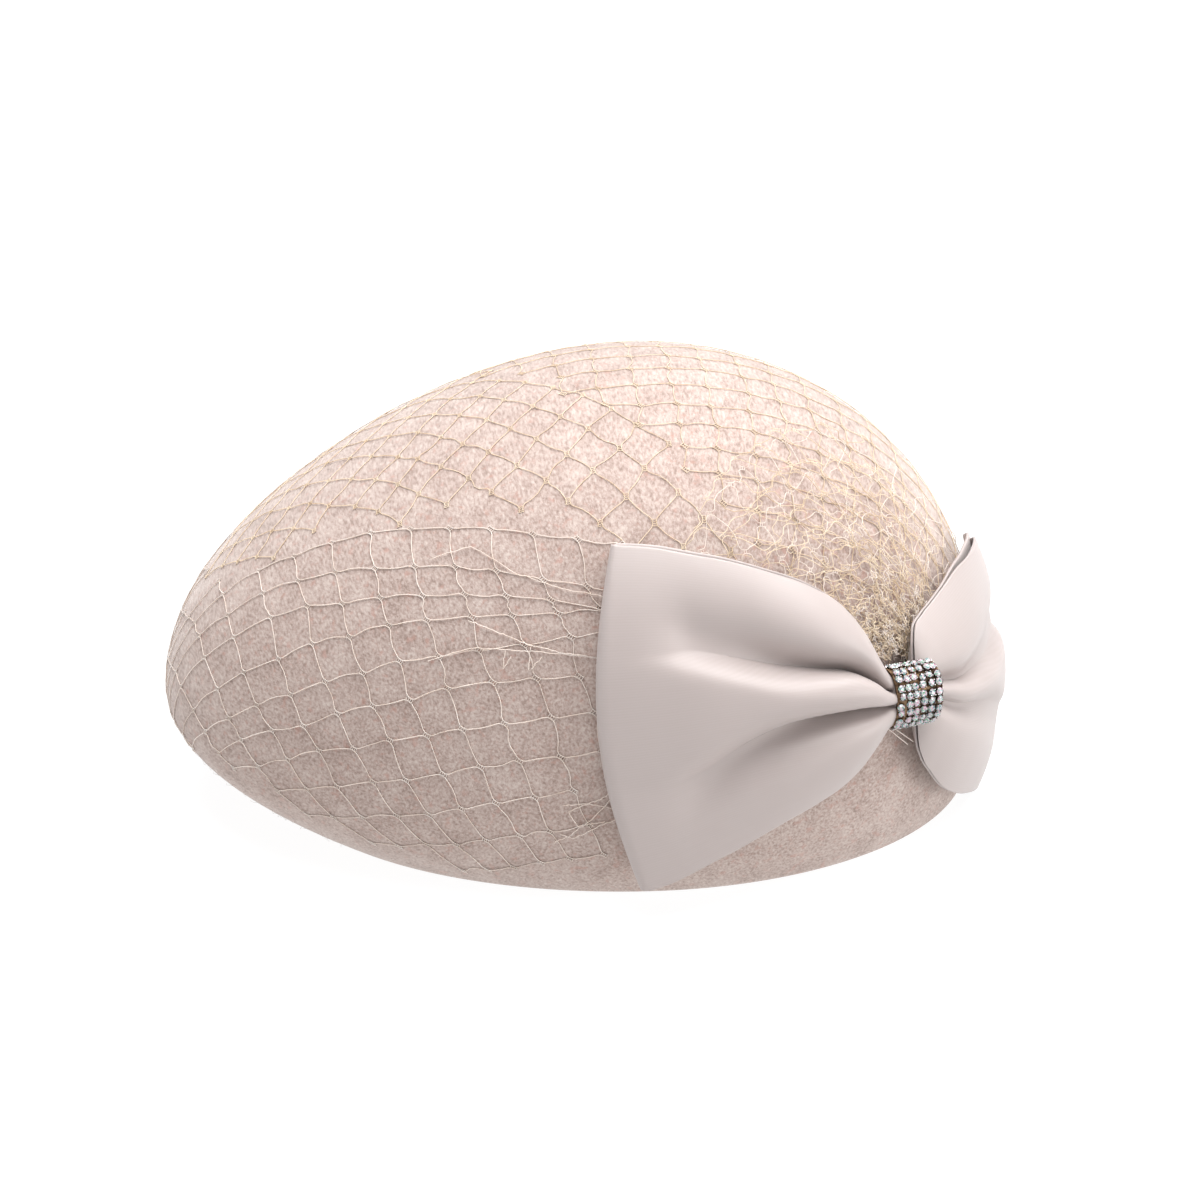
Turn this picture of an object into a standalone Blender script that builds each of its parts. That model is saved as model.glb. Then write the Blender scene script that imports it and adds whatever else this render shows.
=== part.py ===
"""A brimless teardrop hat of blocked wool felt, with a net veil, a satin bow and a crystal band.

The felt crown stands on its rim with its nose toward -Y. The net lies over the crown, the bow
wraps around the back of its +X side, and the crystal band closes around the middle of the bow.
Everything is worked out from the crown's reach at each level, in the crown's own axes, and the
whole hat is then set with its origin at the bottom centre of its box.
"""

from bisect import bisect_right
from collections import namedtuple
from math import atan2, cos, hypot, pi, radians, sin, tan

import bmesh
import bpy
from mathutils import Vector

MM = 0.001

# Crown: reach from the middle of its widest level, and heights above the floor
HALF_WIDTH = 95 * MM
NOSE_REACH = 144 * MM
BACK_REACH = 103 * MM
WIDEST_HEIGHT = 33 * MM
CROWN_HEIGHT = 131 * MM
TOP_SPREAD = 113 * MM
RIM_HALF_WIDTH = 82 * MM
RIM_NOSE_REACH = 110 * MM
RIM_BACK_REACH = 101 * MM
FELT_WALL = 2.5 * MM
CROWN_SECTORS = 40
SKIRT_RINGS = 3
DOME_RINGS = 10

# Net: diamond cells laid flat from the crown's top, then draped
CELL_WIDTH = 42 * MM
CELL_HEIGHT = 38 * MM
NET_STRAND = 1.8 * MM
NET_THICKNESS = 0.8 * MM
NET_STAND_OFF = 1.0 * MM
NET_HEM = 5 * MM
NET_UNDER_BOW = 26 * MM

# Bow: a centre on the wall, two loops and the pinched middle between them
BOW_AZIMUTH = radians(42)
BOW_CLIMB = 56 * MM
BOW_TILT = radians(14)
BOW_RADIUS = 98 * MM
RIBBON_THICKNESS = 1.0 * MM
LOOP_COLUMNS = 11
LOOP_END_LEAN = 0.12
LOOP_LEAN_POWER = 2
TILT_FADE = 60 * MM
GROOVE_WIDTH = 0.20
FOLD_STEPS = 3
MIDDLE_HALF_LENGTH = 8.7 * MM
MIDDLE_HALF_HEIGHT = 8.8 * MM
MIDDLE_HALF_DEPTH = 4.2 * MM
MIDDLE_STAND_OFF = 7.7 * MM
MIDDLE_SIDES = 20
MIDDLE_PLEAT = 0.10

# Crystal band: a closed strap around the middle, set with stones on its outward side
CLEARANCE = 0.3 * MM
STRAP_THICKNESS = 1.0 * MM
STONE_PITCH = 2.75 * MM
STONE_COLUMNS = 6
STONE_ROWS = 10
STONE_RADIUS = 1.2 * MM
TABLE_RADIUS = 0.66 * MM
STONE_HEIGHT = 1.0 * MM
PLAIN_STRAP_STEPS = 10

# One row for each section of a loop, in millimetres from the bow's centre outward. top and bottom
# are climbs up the wall from the floor. crest and edge are the outer layer's stand-off at its
# middle and its borders, lining the inner layer's at its borders. groove is the depth of the two
# pleats, and pleat their distance from the middle as a share of the half height.
LoopSection = namedtuple("LoopSection", "along top bottom crest edge lining groove pleat")

LEFT_LOOP = (
    LoopSection(9, 65, 47, 11.6, 8.6, 5.8, 2.0, 0.30),
    LoopSection(14, 74, 44, 12.8, 8.0, 5.2, 4.2, 0.27),
    LoopSection(21, 85, 38, 13.4, 7.6, 4.8, 5.8, 0.26),
    LoopSection(30, 93, 34, 13.0, 7.4, 4.3, 5.6, 0.29),
    LoopSection(41, 99, 30, 11.8, 7.2, 3.8, 4.2, 0.38),
    LoopSection(53, 104, 25, 10.2, 6.8, 3.4, 2.0, 0.48),
    LoopSection(65, 107, 20, 8.8, 6.4, 3.2, 0.4, 0.56),
    LoopSection(76, 109, 15, 7.6, 6.2, 3.1, 0.0, 0.60),
    LoopSection(86, 110, 11, 6.6, 6.2, 3.0, 0.0, 0.60),
)
RIGHT_LOOP = (
    LoopSection(9, 65, 47, 11.6, 8.6, 5.8, 2.0, 0.30),
    LoopSection(14, 73, 32, 11.8, 8.8, 5.2, 4.0, 0.27),
    LoopSection(21, 77, 20, 12.0, 9.0, 4.8, 4.6, 0.26),
    LoopSection(30, 79, 12, 12.0, 8.8, 4.3, 4.4, 0.29),
    LoopSection(41, 80, 7, 11.4, 8.4, 3.8, 3.2, 0.38),
    LoopSection(53, 79, 4, 10.4, 7.8, 3.4, 1.4, 0.48),
    LoopSection(65, 77, 3, 9.0, 7.0, 3.2, 0.3, 0.56),
    LoopSection(76, 74, 3, 7.6, 6.4, 3.1, 0.0, 0.60),
    LoopSection(86, 71, 3, 6.6, 6.2, 3.0, 0.0, 0.60),
)
LINING_STAND_OFF = 3.0 * MM

Finish = namedtuple("Finish", "colour roughness metallic")
FELT = Finish((0.62, 0.48, 0.41), 0.95, 0.0)
NET = Finish((0.68, 0.55, 0.42), 0.80, 0.0)
SATIN = Finish((0.66, 0.60, 0.57), 0.42, 0.0)
CRYSTAL = Finish((0.80, 0.83, 0.85), 0.15, 0.6)


def clear_scene():
    """Remove every object that the file opened with."""
    for obj in list(bpy.data.objects):
        bpy.data.objects.remove(obj, do_unlink=True)


def new_material(name, finish):
    """A Principled material with one plain colour."""
    material = bpy.data.materials.new(name)
    material.use_nodes = True
    shader = material.node_tree.nodes["Principled BSDF"]
    shader.inputs["Base Color"].default_value = (*finish.colour, 1.0)
    shader.inputs["Roughness"].default_value = finish.roughness
    shader.inputs["Metallic"].default_value = finish.metallic
    return material


def finish_object(bm, name, material, sharp_angle=radians(50), closed=True):
    """Write the bmesh to a named object with smooth round stretches.

    A closed body's faces are turned outward. An open sheet keeps the way its faces were laid.
    """
    if closed:
        bmesh.ops.recalc_face_normals(bm, faces=bm.faces)
    mesh = bpy.data.meshes.new(name)
    bm.to_mesh(mesh)
    bm.free()
    mesh.materials.append(material)
    mesh.shade_smooth()
    mesh.set_sharp_from_angle(angle=sharp_angle)
    obj = bpy.data.objects.new(name, mesh)
    bpy.context.collection.objects.link(obj)
    return obj


def mix(start, end, share):
    """The value that lies the given share of the way from start to end."""
    return start + (end - start) * share


def egg_point(half_width, nose, back, azimuth, height):
    """A point of one level of the crown: two half ellipses that meet at its widest line."""
    reach = back if sin(azimuth) > 0 else nose
    return Vector((half_width * cos(azimuth), reach * sin(azimuth), height))


def dome_point(azimuth, angle):
    """A point above the widest level, which is at angle 0, with the top of the crown at pi / 2."""
    spread = sin(angle) ** 2
    reaches = [cos(angle) * mix(reach, TOP_SPREAD, spread) for reach in (HALF_WIDTH, NOSE_REACH, BACK_REACH)]
    return egg_point(*reaches, azimuth, mix(WIDEST_HEIGHT, CROWN_HEIGHT, sin(angle)))


def skirt_point(azimuth, rise):
    """A point of the wall that rolls under to the rim: rise is 0 at the rim, 1 at the widest level."""
    tuck = (1 - rise) ** 2
    half_width = mix(HALF_WIDTH, RIM_HALF_WIDTH, tuck)
    nose = mix(NOSE_REACH, RIM_NOSE_REACH, tuck)
    back = mix(BACK_REACH, RIM_BACK_REACH, tuck)
    return egg_point(half_width, nose, back, azimuth, WIDEST_HEIGHT * rise)


def felt_point(azimuth, level):
    """A point of the crown's outer face: level -1 is the rim, 0 the widest level, 1 the top."""
    if level < 0:
        return skirt_point(azimuth, 1 + level)
    return dome_point(azimuth, level * pi / 2)


def outward(surface, azimuth, level, step=0.004):
    """The outward normal of a surface given as a function of azimuth and level."""
    along = surface(azimuth + step, level) - surface(azimuth - step, level)
    up = surface(azimuth, min(level + step, 0.999)) - surface(azimuth, level - step)
    return along.cross(up).normalized()


def lay_rings(bm, rings):
    """Join closed rings of points in order, each to the next, and return the rings of vertices."""
    laid = [[bm.verts.new(point) for point in ring] for ring in rings]
    for lower, upper in zip(laid, laid[1:]):
        for index in range(len(lower)):
            after = (index + 1) % len(lower)
            bm.faces.new((lower[index], lower[after], upper[after], upper[index]))
    return laid


def close_with_apex(bm, ring, point):
    """Close a ring with a fan of triangles around one point."""
    apex = bm.verts.new(point)
    for index in range(len(ring)):
        bm.faces.new((ring[index], ring[(index + 1) % len(ring)], apex))


def inner_rim_point(azimuth):
    """The inner edge of the flat rim, a wall's thickness in from the outer edge on the floor."""
    edge = felt_point(azimuth, -1)
    normal = outward(felt_point, azimuth, -0.98)
    level_normal = Vector((normal.x, normal.y, 0.0))
    return edge - level_normal.normalized() * (FELT_WALL / level_normal.length)


def build_felt_crown(material):
    """The blocked felt shell, open at the rim, with a flat rim to stand on."""
    azimuths = [2 * pi * index / CROWN_SECTORS for index in range(CROWN_SECTORS)]
    levels = [index / SKIRT_RINGS - 1 for index in range(SKIRT_RINGS)]
    levels += [index / (DOME_RINGS + 1) for index in range(DOME_RINGS + 1)]
    outer = [[felt_point(azimuth, level) for azimuth in azimuths] for level in levels]
    inner = [[inner_rim_point(azimuth) for azimuth in azimuths]]
    for level in levels[1:]:
        inner.append([
            felt_point(azimuth, level) - outward(felt_point, azimuth, level) * FELT_WALL
            for azimuth in azimuths
        ])
    bm = bmesh.new()
    rings = lay_rings(bm, list(reversed(outer)) + inner)
    top = Vector((0.0, 0.0, CROWN_HEIGHT))
    close_with_apex(bm, rings[0], top)
    close_with_apex(bm, rings[-1], top - Vector((0.0, 0.0, FELT_WALL)))
    return finish_object(bm, "felt_crown", material)


class DomeLine:
    """The line up the dome at one azimuth, read by its length from the widest level."""

    STEPS = 40

    def __init__(self, azimuth):
        self.azimuth = azimuth
        self.lengths = [0.0]
        previous = dome_point(azimuth, 0.0)
        for index in range(1, self.STEPS + 1):
            point = dome_point(azimuth, index * pi / 2 / self.STEPS)
            self.lengths.append(self.lengths[-1] + (point - previous).length)
            previous = point

    @property
    def length(self):
        """The whole length from the widest level to the top."""
        return self.lengths[-1]

    def level(self, climb):
        """The level, 0 to 1, at a climb from the widest level."""
        index = min(max(bisect_right(self.lengths, climb) - 1, 0), self.STEPS - 1)
        share = (climb - self.lengths[index]) / (self.lengths[index + 1] - self.lengths[index])
        return (index + share) / self.STEPS


def drape_net(flat_x, flat_y, stand_off):
    """Lay a point of the flat net on the crown: its distance from the middle is kept as arc length."""
    azimuth = atan2(flat_y, flat_x)
    line = DomeLine(azimuth)
    run = hypot(flat_x, flat_y)
    if run <= line.length:
        level = min(line.level(line.length - run), 0.995)
    else:
        level = -min((run - line.length) / WIDEST_HEIGHT, 1.0)
    return felt_point(azimuth, level) + outward(felt_point, azimuth, level) * stand_off


def net_climb(flat_x, flat_y):
    """The azimuth of a point of the flat net, and how far up the wall from the floor it lies."""
    azimuth = atan2(flat_y, flat_x)
    return azimuth, DomeLine(azimuth).length + WIDEST_HEIGHT - hypot(flat_x, flat_y)


def section_at(sections, along):
    """The row of a loop's table at a distance in metres along it, mixed from the rows beside it."""
    place = along / MM
    stations = [section.along for section in sections]
    index = min(max(bisect_right(stations, place) - 1, 0), len(sections) - 2)
    before, after = sections[index], sections[index + 1]
    share = min(max((place - before.along) / (after.along - before.along), 0.0), 1.0)
    return LoopSection(*(mix(low, high, share) for low, high in zip(before, after)))


def net_lower_edge(azimuth):
    """How far down the wall the net reaches: to the hem, or just under the top of the bow."""
    along = (azimuth - BOW_AZIMUTH) * BOW_RADIUS
    sections = RIGHT_LOOP if along > 0 else LEFT_LOOP
    if abs(along) > sections[-1].along * MM:
        return NET_HEM
    return section_at(sections, abs(along)).top * MM - NET_UNDER_BOW


def covered_cells():
    """The middles of the diamond cells, in half cells, that lie on the part of the crown with net."""
    span = 12
    cells = set()
    for column in range(-span, span + 1):
        for row in range(-span, span + 1):
            if (column + row) % 2:
                azimuth, climb = net_climb(column * CELL_WIDTH / 2, row * CELL_HEIGHT / 2)
                if climb - CELL_HEIGHT / 2 > net_lower_edge(azimuth):
                    cells.add((column, row))
    return without_corner_contacts(cells)


def without_corner_contacts(cells):
    """Drop cells until no two of them touch at a corner alone."""
    kept = set(cells)
    for column, row in sorted(cells):
        right, above, below = (column + 2, row), (column + 1, row + 1), (column + 1, row - 1)
        if right in kept and above not in kept and below not in kept:
            kept.discard((column, row))
        if (column, row + 2) in kept and (column + 1, row + 1) not in kept and (column - 1, row + 1) not in kept:
            kept.discard((column, row))
    return kept


def build_veil_net(material):
    """The net as one thin lattice, each diamond cell cut through."""
    corners = ((-1, 0), (0, -1), (1, 0), (0, 1))
    bm = bmesh.new()
    knots = {}

    def knot(column, row):
        if (column, row) not in knots:
            point = drape_net(column * CELL_WIDTH / 2, row * CELL_HEIGHT / 2, NET_STAND_OFF + NET_THICKNESS)
            knots[column, row] = bm.verts.new(point)
        return knots[column, row]

    cells = []
    for column, row in sorted(covered_cells()):
        outline = []
        for (from_x, from_y), (to_x, to_y) in zip(corners, corners[1:] + corners[:1]):
            outline.append(knot(column + from_x, row + from_y))
            outline.append(knot(column + (from_x + to_x) / 2, row + (from_y + to_y) / 2))
        cells.append(bm.faces.new(outline))
    bm.normal_update()
    bmesh.ops.inset_individual(bm, faces=cells, thickness=NET_STRAND / 2, use_even_offset=True)
    bmesh.ops.delete(bm, geom=cells, context="FACES_ONLY")
    obj = finish_object(bm, "veil_net", material, closed=False)
    thickness = obj.modifiers.new("strand_thickness", "SOLIDIFY")
    thickness.thickness = NET_THICKNESS
    thickness.offset = -1.0
    return obj


def plumb_wall(azimuth, level):
    """The wall that the ribbon lies on: the dome, and straight down below the widest level."""
    if level < 0:
        return egg_point(HALF_WIDTH, NOSE_REACH, BACK_REACH, azimuth, WIDEST_HEIGHT * (1 + level))
    return dome_point(azimuth, level * pi / 2)


def wall_point(azimuth, climb, stand_off):
    """A point that stands off the wall at a climb from the floor."""
    if climb < WIDEST_HEIGHT:
        level = climb / WIDEST_HEIGHT - 1
    else:
        level = DomeLine(azimuth).level(climb - WIDEST_HEIGHT)
    return plumb_wall(azimuth, level) + outward(plumb_wall, azimuth, level) * stand_off


def pleat_shape(offset):
    """The share of a pleat's depth at a distance from its bottom line."""
    return 1 / (1 + (offset / GROOVE_WIDTH) ** 2) ** 1.5


def loop_stand_off(section, across, outer):
    """How far a layer of a loop stands off the wall, across being -1 to 1 from bottom to top."""
    crown = 1 - across ** 2
    if not outer:
        return mix(section.lining * MM, LINING_STAND_OFF, crown)
    pleats = pleat_shape(across - section.pleat) + pleat_shape(across + section.pleat)
    return (mix(section.edge, section.crest, crown) - section.groove * pleats) * MM


def loop_point(sections, side, along, across, outer, share=None):
    """A point of a loop. side is -1 for the left loop and 1 for the right one.

    share, where given, is how far the point lies around the end fold from the outer layer.
    """
    section = section_at(sections, along)
    climb = mix(section.bottom, section.top, (across + 1) / 2) * MM
    lean = 1 - LOOP_END_LEAN * ((1 - across) / 2) ** LOOP_LEAN_POWER * along / (sections[-1].along * MM)
    tilt = side * tan(BOW_TILT) * (climb - BOW_CLIMB) * max(1 - along / TILT_FADE, 0.0)
    reach = along * lean + tilt
    stand_off = loop_stand_off(section, across, outer)
    if share is not None:
        front = loop_stand_off(section, across, True)
        back = loop_stand_off(section, across, False)
        radius = (front - back) / 2
        stand_off = (front + back) / 2 + radius * cos(pi * share)
        reach += radius * sin(pi * share)
    return wall_point(BOW_AZIMUTH + side * reach / BOW_RADIUS, climb, stand_off)


def build_loop(name, sections, side, material):
    """One loop of the bow: an outer layer, the fold at its end, and the layer behind it."""
    acrosses = [2 * index / (LOOP_COLUMNS - 1) - 1 for index in range(LOOP_COLUMNS)]
    stations = [section.along * MM for section in sections]
    end = stations[-1]
    rows = [[loop_point(sections, side, along, across, True) for across in acrosses] for along in stations]
    for index in range(1, FOLD_STEPS + 1):
        share = index / (FOLD_STEPS + 1)
        rows.append([loop_point(sections, side, end, across, True, share) for across in acrosses])
    for along in reversed(stations):
        rows.append([loop_point(sections, side, along, across, False) for across in acrosses])
    bm = bmesh.new()
    laid = [[bm.verts.new(point) for point in row] for row in rows]
    for lower, upper in zip(laid, laid[1:]):
        for index in range(LOOP_COLUMNS - 1):
            bm.faces.new((lower[index], lower[index + 1], upper[index + 1], upper[index])[::side])
    obj = finish_object(bm, name, material, closed=False)
    thickness = obj.modifiers.new("ribbon_thickness", "SOLIDIFY")
    thickness.thickness = RIBBON_THICKNESS
    thickness.offset = 0.0
    return obj


class BowFrame:
    """The bow's own axes at its centre: along the ribbon, up across it, and out from the wall."""

    def __init__(self):
        centre = wall_point(BOW_AZIMUTH, BOW_CLIMB, MIDDLE_STAND_OFF)
        self.out = (centre - wall_point(BOW_AZIMUTH, BOW_CLIMB, 0.0)).normalized()
        level_along = Vector((0.0, 0.0, 1.0)).cross(self.out).normalized()
        level_up = self.out.cross(level_along)
        self.along = level_along * cos(BOW_TILT) - level_up * sin(BOW_TILT)
        self.up = self.out.cross(self.along)
        self.centre = centre

    def place(self, along, up, out):
        """The point at these distances from the bow's centre."""
        return self.centre + self.along * along + self.up * up + self.out * out


def oval(angle, half_height, half_depth):
    """The height and depth of a point of an oval, at an angle from its outward side."""
    return half_height * sin(angle), half_depth * cos(angle)


def build_bow_middle(frame, material):
    """The ribbon pinched together between the loops, with the pleats running through."""
    bm = bmesh.new()
    rings = []
    for along in (-MIDDLE_HALF_LENGTH, 0.0, MIDDLE_HALF_LENGTH):
        ring = []
        for index in range(MIDDLE_SIDES):
            pleat = 1 - MIDDLE_PLEAT * (index % 2)
            up, out = oval(2 * pi * index / MIDDLE_SIDES, MIDDLE_HALF_HEIGHT * pleat, MIDDLE_HALF_DEPTH * pleat)
            ring.append(frame.place(along, up, out))
        rings.append(ring)
    laid = lay_rings(bm, rings)
    bm.faces.new(laid[0])
    bm.faces.new(laid[-1])
    return finish_object(bm, "bow_middle", material)


def strap_angles():
    """The angles around the strap where its cells begin, the stones' rows first, then the plain back."""
    half_height = MIDDLE_HALF_HEIGHT + CLEARANCE + STRAP_THICKNESS
    half_depth = MIDDLE_HALF_DEPTH + CLEARANCE + STRAP_THICKNESS
    steps = 360
    angles = [pi * (2 * index / steps - 1) for index in range(steps + 1)]
    points = [Vector(oval(angle, half_height, half_depth)) for angle in angles]
    lengths = [0.0]
    for before, after in zip(points, points[1:]):
        lengths.append(lengths[-1] + (after - before).length)
    middle = lengths[steps // 2]

    def angle_at(length):
        index = min(max(bisect_right(lengths, length) - 1, 0), steps - 1)
        share = (length - lengths[index]) / (lengths[index + 1] - lengths[index])
        return mix(angles[index], angles[index + 1], share)

    set_length = STONE_ROWS * STONE_PITCH
    stone_angles = [angle_at(middle + STONE_PITCH * row - set_length / 2) for row in range(STONE_ROWS + 1)]
    plain = 2 * pi - (stone_angles[-1] - stone_angles[0])
    back = [stone_angles[-1] + plain * index / PLAIN_STRAP_STEPS for index in range(1, PLAIN_STRAP_STEPS)]
    return stone_angles + back


def raise_stone(bm, cell):
    """Turn one cell of the strap into a round brilliant: eight facets up to a flat table."""
    centre = cell.calc_center_median()
    normal = cell.normal.copy()
    bmesh.ops.inset_individual(bm, faces=[cell], thickness=STONE_PITCH * 0.03)
    bmesh.ops.subdivide_edges(bm, edges=list(cell.edges), cuts=1)
    for vert in cell.verts:
        spoke = vert.co - centre
        spoke -= normal * spoke.dot(normal)
        vert.co = centre + spoke.normalized() * STONE_RADIUS
    table = bmesh.ops.extrude_discrete_faces(bm, faces=[cell])["faces"][0]
    for vert in table.verts:
        spoke = vert.co - centre
        vert.co = centre + spoke * (TABLE_RADIUS / STONE_RADIUS) + normal * STONE_HEIGHT


def build_crystal_band(frame, material):
    """The closed strap around the bow's middle, with rows of stones on its outward side."""
    inner_height = MIDDLE_HALF_HEIGHT + CLEARANCE
    inner_depth = MIDDLE_HALF_DEPTH + CLEARANCE
    half_width = STONE_COLUMNS * STONE_PITCH / 2
    alongs = [STONE_PITCH * column - half_width for column in range(STONE_COLUMNS + 1)]
    angles = strap_angles()
    bm = bmesh.new()
    outer, inner = [], []
    for angle in angles:
        up, out = oval(angle, inner_height + STRAP_THICKNESS, inner_depth + STRAP_THICKNESS)
        outer.append([bm.verts.new(frame.place(along, up, out)) for along in alongs])
        up, out = oval(angle, inner_height, inner_depth)
        inner.append([bm.verts.new(frame.place(along, up, out)) for along in (-half_width, half_width)])
    stone_cells = []
    for row in range(len(angles)):
        after = (row + 1) % len(angles)
        for column in range(STONE_COLUMNS):
            corners = (outer[row][column], outer[row][column + 1], outer[after][column + 1], outer[after][column])
            cell = bm.faces.new(corners)
            if row < STONE_ROWS:
                stone_cells.append(cell)
        bm.faces.new((inner[row][1], inner[row][0], inner[after][0], inner[after][1]))
        bm.faces.new((outer[row][0], outer[after][0], inner[after][0], inner[row][0]))
        bm.faces.new((outer[row][-1], inner[row][1], inner[after][1], outer[after][-1]))
    bmesh.ops.recalc_face_normals(bm, faces=bm.faces)
    bm.normal_update()
    for cell in stone_cells:
        raise_stone(bm, cell)
    return finish_object(bm, "crystal_band", material, sharp_angle=radians(15))


def set_on_origin(objects):
    """Move the whole hat so that the origin is at the bottom centre of its box."""
    view_layer = bpy.context.view_layer
    view_layer.update()
    graph = bpy.context.evaluated_depsgraph_get()
    corners = [Vector(corner) for obj in objects for corner in obj.evaluated_get(graph).bound_box]
    low = Vector([min(corner[axis] for corner in corners) for axis in range(3)])
    high = Vector([max(corner[axis] for corner in corners) for axis in range(3)])
    middle = (low + high) / 2
    hat = bpy.data.objects.new("hat", None)
    bpy.context.collection.objects.link(hat)
    hat.location = (-middle.x, -middle.y, -low.z)
    for obj in objects:
        obj.parent = hat


def main():
    """Build every piece of the hat."""
    clear_scene()
    felt = new_material("wool_felt", FELT)
    net = new_material("net", NET)
    satin = new_material("satin", SATIN)
    crystal = new_material("crystal", CRYSTAL)
    frame = BowFrame()
    set_on_origin([
        build_felt_crown(felt),
        build_veil_net(net),
        build_loop("bow_loop_left", LEFT_LOOP, -1, satin),
        build_loop("bow_loop_right", RIGHT_LOOP, 1, satin),
        build_bow_middle(frame, satin),
        build_crystal_band(frame, crystal),
    ])


main()
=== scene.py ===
"""Looks for a brimless teardrop felt hat with a net veil, a satin bow and a band of crystals.

The hat stands on its rim, nose toward -Y, with the bow around the back of its +X side. Every
piece is worked out from the crown's form, so it lies on what carries it from every side.
"""

from __future__ import annotations

import logging
import math
import random
from dataclasses import dataclass, field
from enum import Enum
from typing import Callable

import bmesh
import bpy
import numpy as np
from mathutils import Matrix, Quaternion, Vector


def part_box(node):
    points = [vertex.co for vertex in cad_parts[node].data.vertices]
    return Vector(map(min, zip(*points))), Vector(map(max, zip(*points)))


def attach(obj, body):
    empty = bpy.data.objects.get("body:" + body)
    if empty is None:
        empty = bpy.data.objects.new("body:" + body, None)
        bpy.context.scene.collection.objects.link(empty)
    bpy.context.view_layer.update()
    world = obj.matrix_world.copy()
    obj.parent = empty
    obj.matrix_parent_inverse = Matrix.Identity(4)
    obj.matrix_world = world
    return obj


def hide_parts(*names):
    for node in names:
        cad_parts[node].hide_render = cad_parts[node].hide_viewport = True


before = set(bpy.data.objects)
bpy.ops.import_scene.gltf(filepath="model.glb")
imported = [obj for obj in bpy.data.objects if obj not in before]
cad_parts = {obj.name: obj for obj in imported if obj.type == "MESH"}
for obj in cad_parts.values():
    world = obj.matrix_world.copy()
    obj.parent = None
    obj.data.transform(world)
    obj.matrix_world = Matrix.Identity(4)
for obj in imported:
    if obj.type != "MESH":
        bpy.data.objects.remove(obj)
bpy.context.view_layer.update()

logging.basicConfig(level=logging.INFO, format="%(message)s")
log = logging.getLogger("hat")

MM = 0.001
ROOT = "root"
BACK_REACH = 103 * MM

Array = np.ndarray
Socket = bpy.types.NodeSocket


class Slot(Enum):
    """Names of the material slots."""

    FELT = "wool_felt"
    NET = "net"
    SATIN = "satin"
    CRYSTAL = "crystal"


def linear(code: str) -> tuple[float, float, float, float]:
    """Turn an sRGB hex colour to linear RGBA.

    Args:
        code: Six hex digits, such as "C8B5AE".

    Returns:
        The linear colour with an alpha of 1.
    """
    parts = [int(code[start:start + 2], 16) / 255 for start in (0, 2, 4)]
    return (*(p / 12.92 if p <= 0.04045 else ((p + 0.055) / 1.055) ** 2.4 for p in parts), 1.0)


def smooth_step(low: float, high: float, value: Array) -> Array:
    """Rise smoothly from 0 at low to 1 at high."""
    share = np.clip((value - low) / (high - low), 0.0, 1.0)
    return share * share * (3 - 2 * share)


def new_object(name: str, mesh: bpy.types.Mesh, material: bpy.types.Material, smooth: bool = True) -> bpy.types.Object:
    """Link a mesh as an object at the origin, with one material.

    Args:
        name: The piece's name.
        mesh: The mesh, placed in its own points.
        material: The piece's material.
        smooth: Whether its faces are shaded smooth.

    Returns:
        The new object.
    """
    mesh.materials.clear()
    mesh.materials.append(material)
    if smooth:
        mesh.shade_smooth()
    obj = bpy.data.objects.new(name, mesh)
    bpy.context.collection.objects.link(obj)
    return obj


def from_bmesh(bm: bmesh.types.BMesh, name: str, material: bpy.types.Material, smooth: bool = True) -> bpy.types.Object:
    """Write a bmesh to a new object and free it.

    Args:
        bm: The bmesh to write.
        name: The piece's name.
        material: The piece's material.
        smooth: Whether its faces are shaded smooth.

    Returns:
        The new object.
    """
    mesh = bpy.data.meshes.new(name)
    bm.to_mesh(mesh)
    bm.free()
    return new_object(name, mesh, material, smooth)


def report(obj: bpy.types.Object) -> None:
    """Log a piece's name and how many faces its mesh holds."""
    log.info("%s: %d faces", obj.name, len(obj.data.polygons))


# The crown's form


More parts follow.
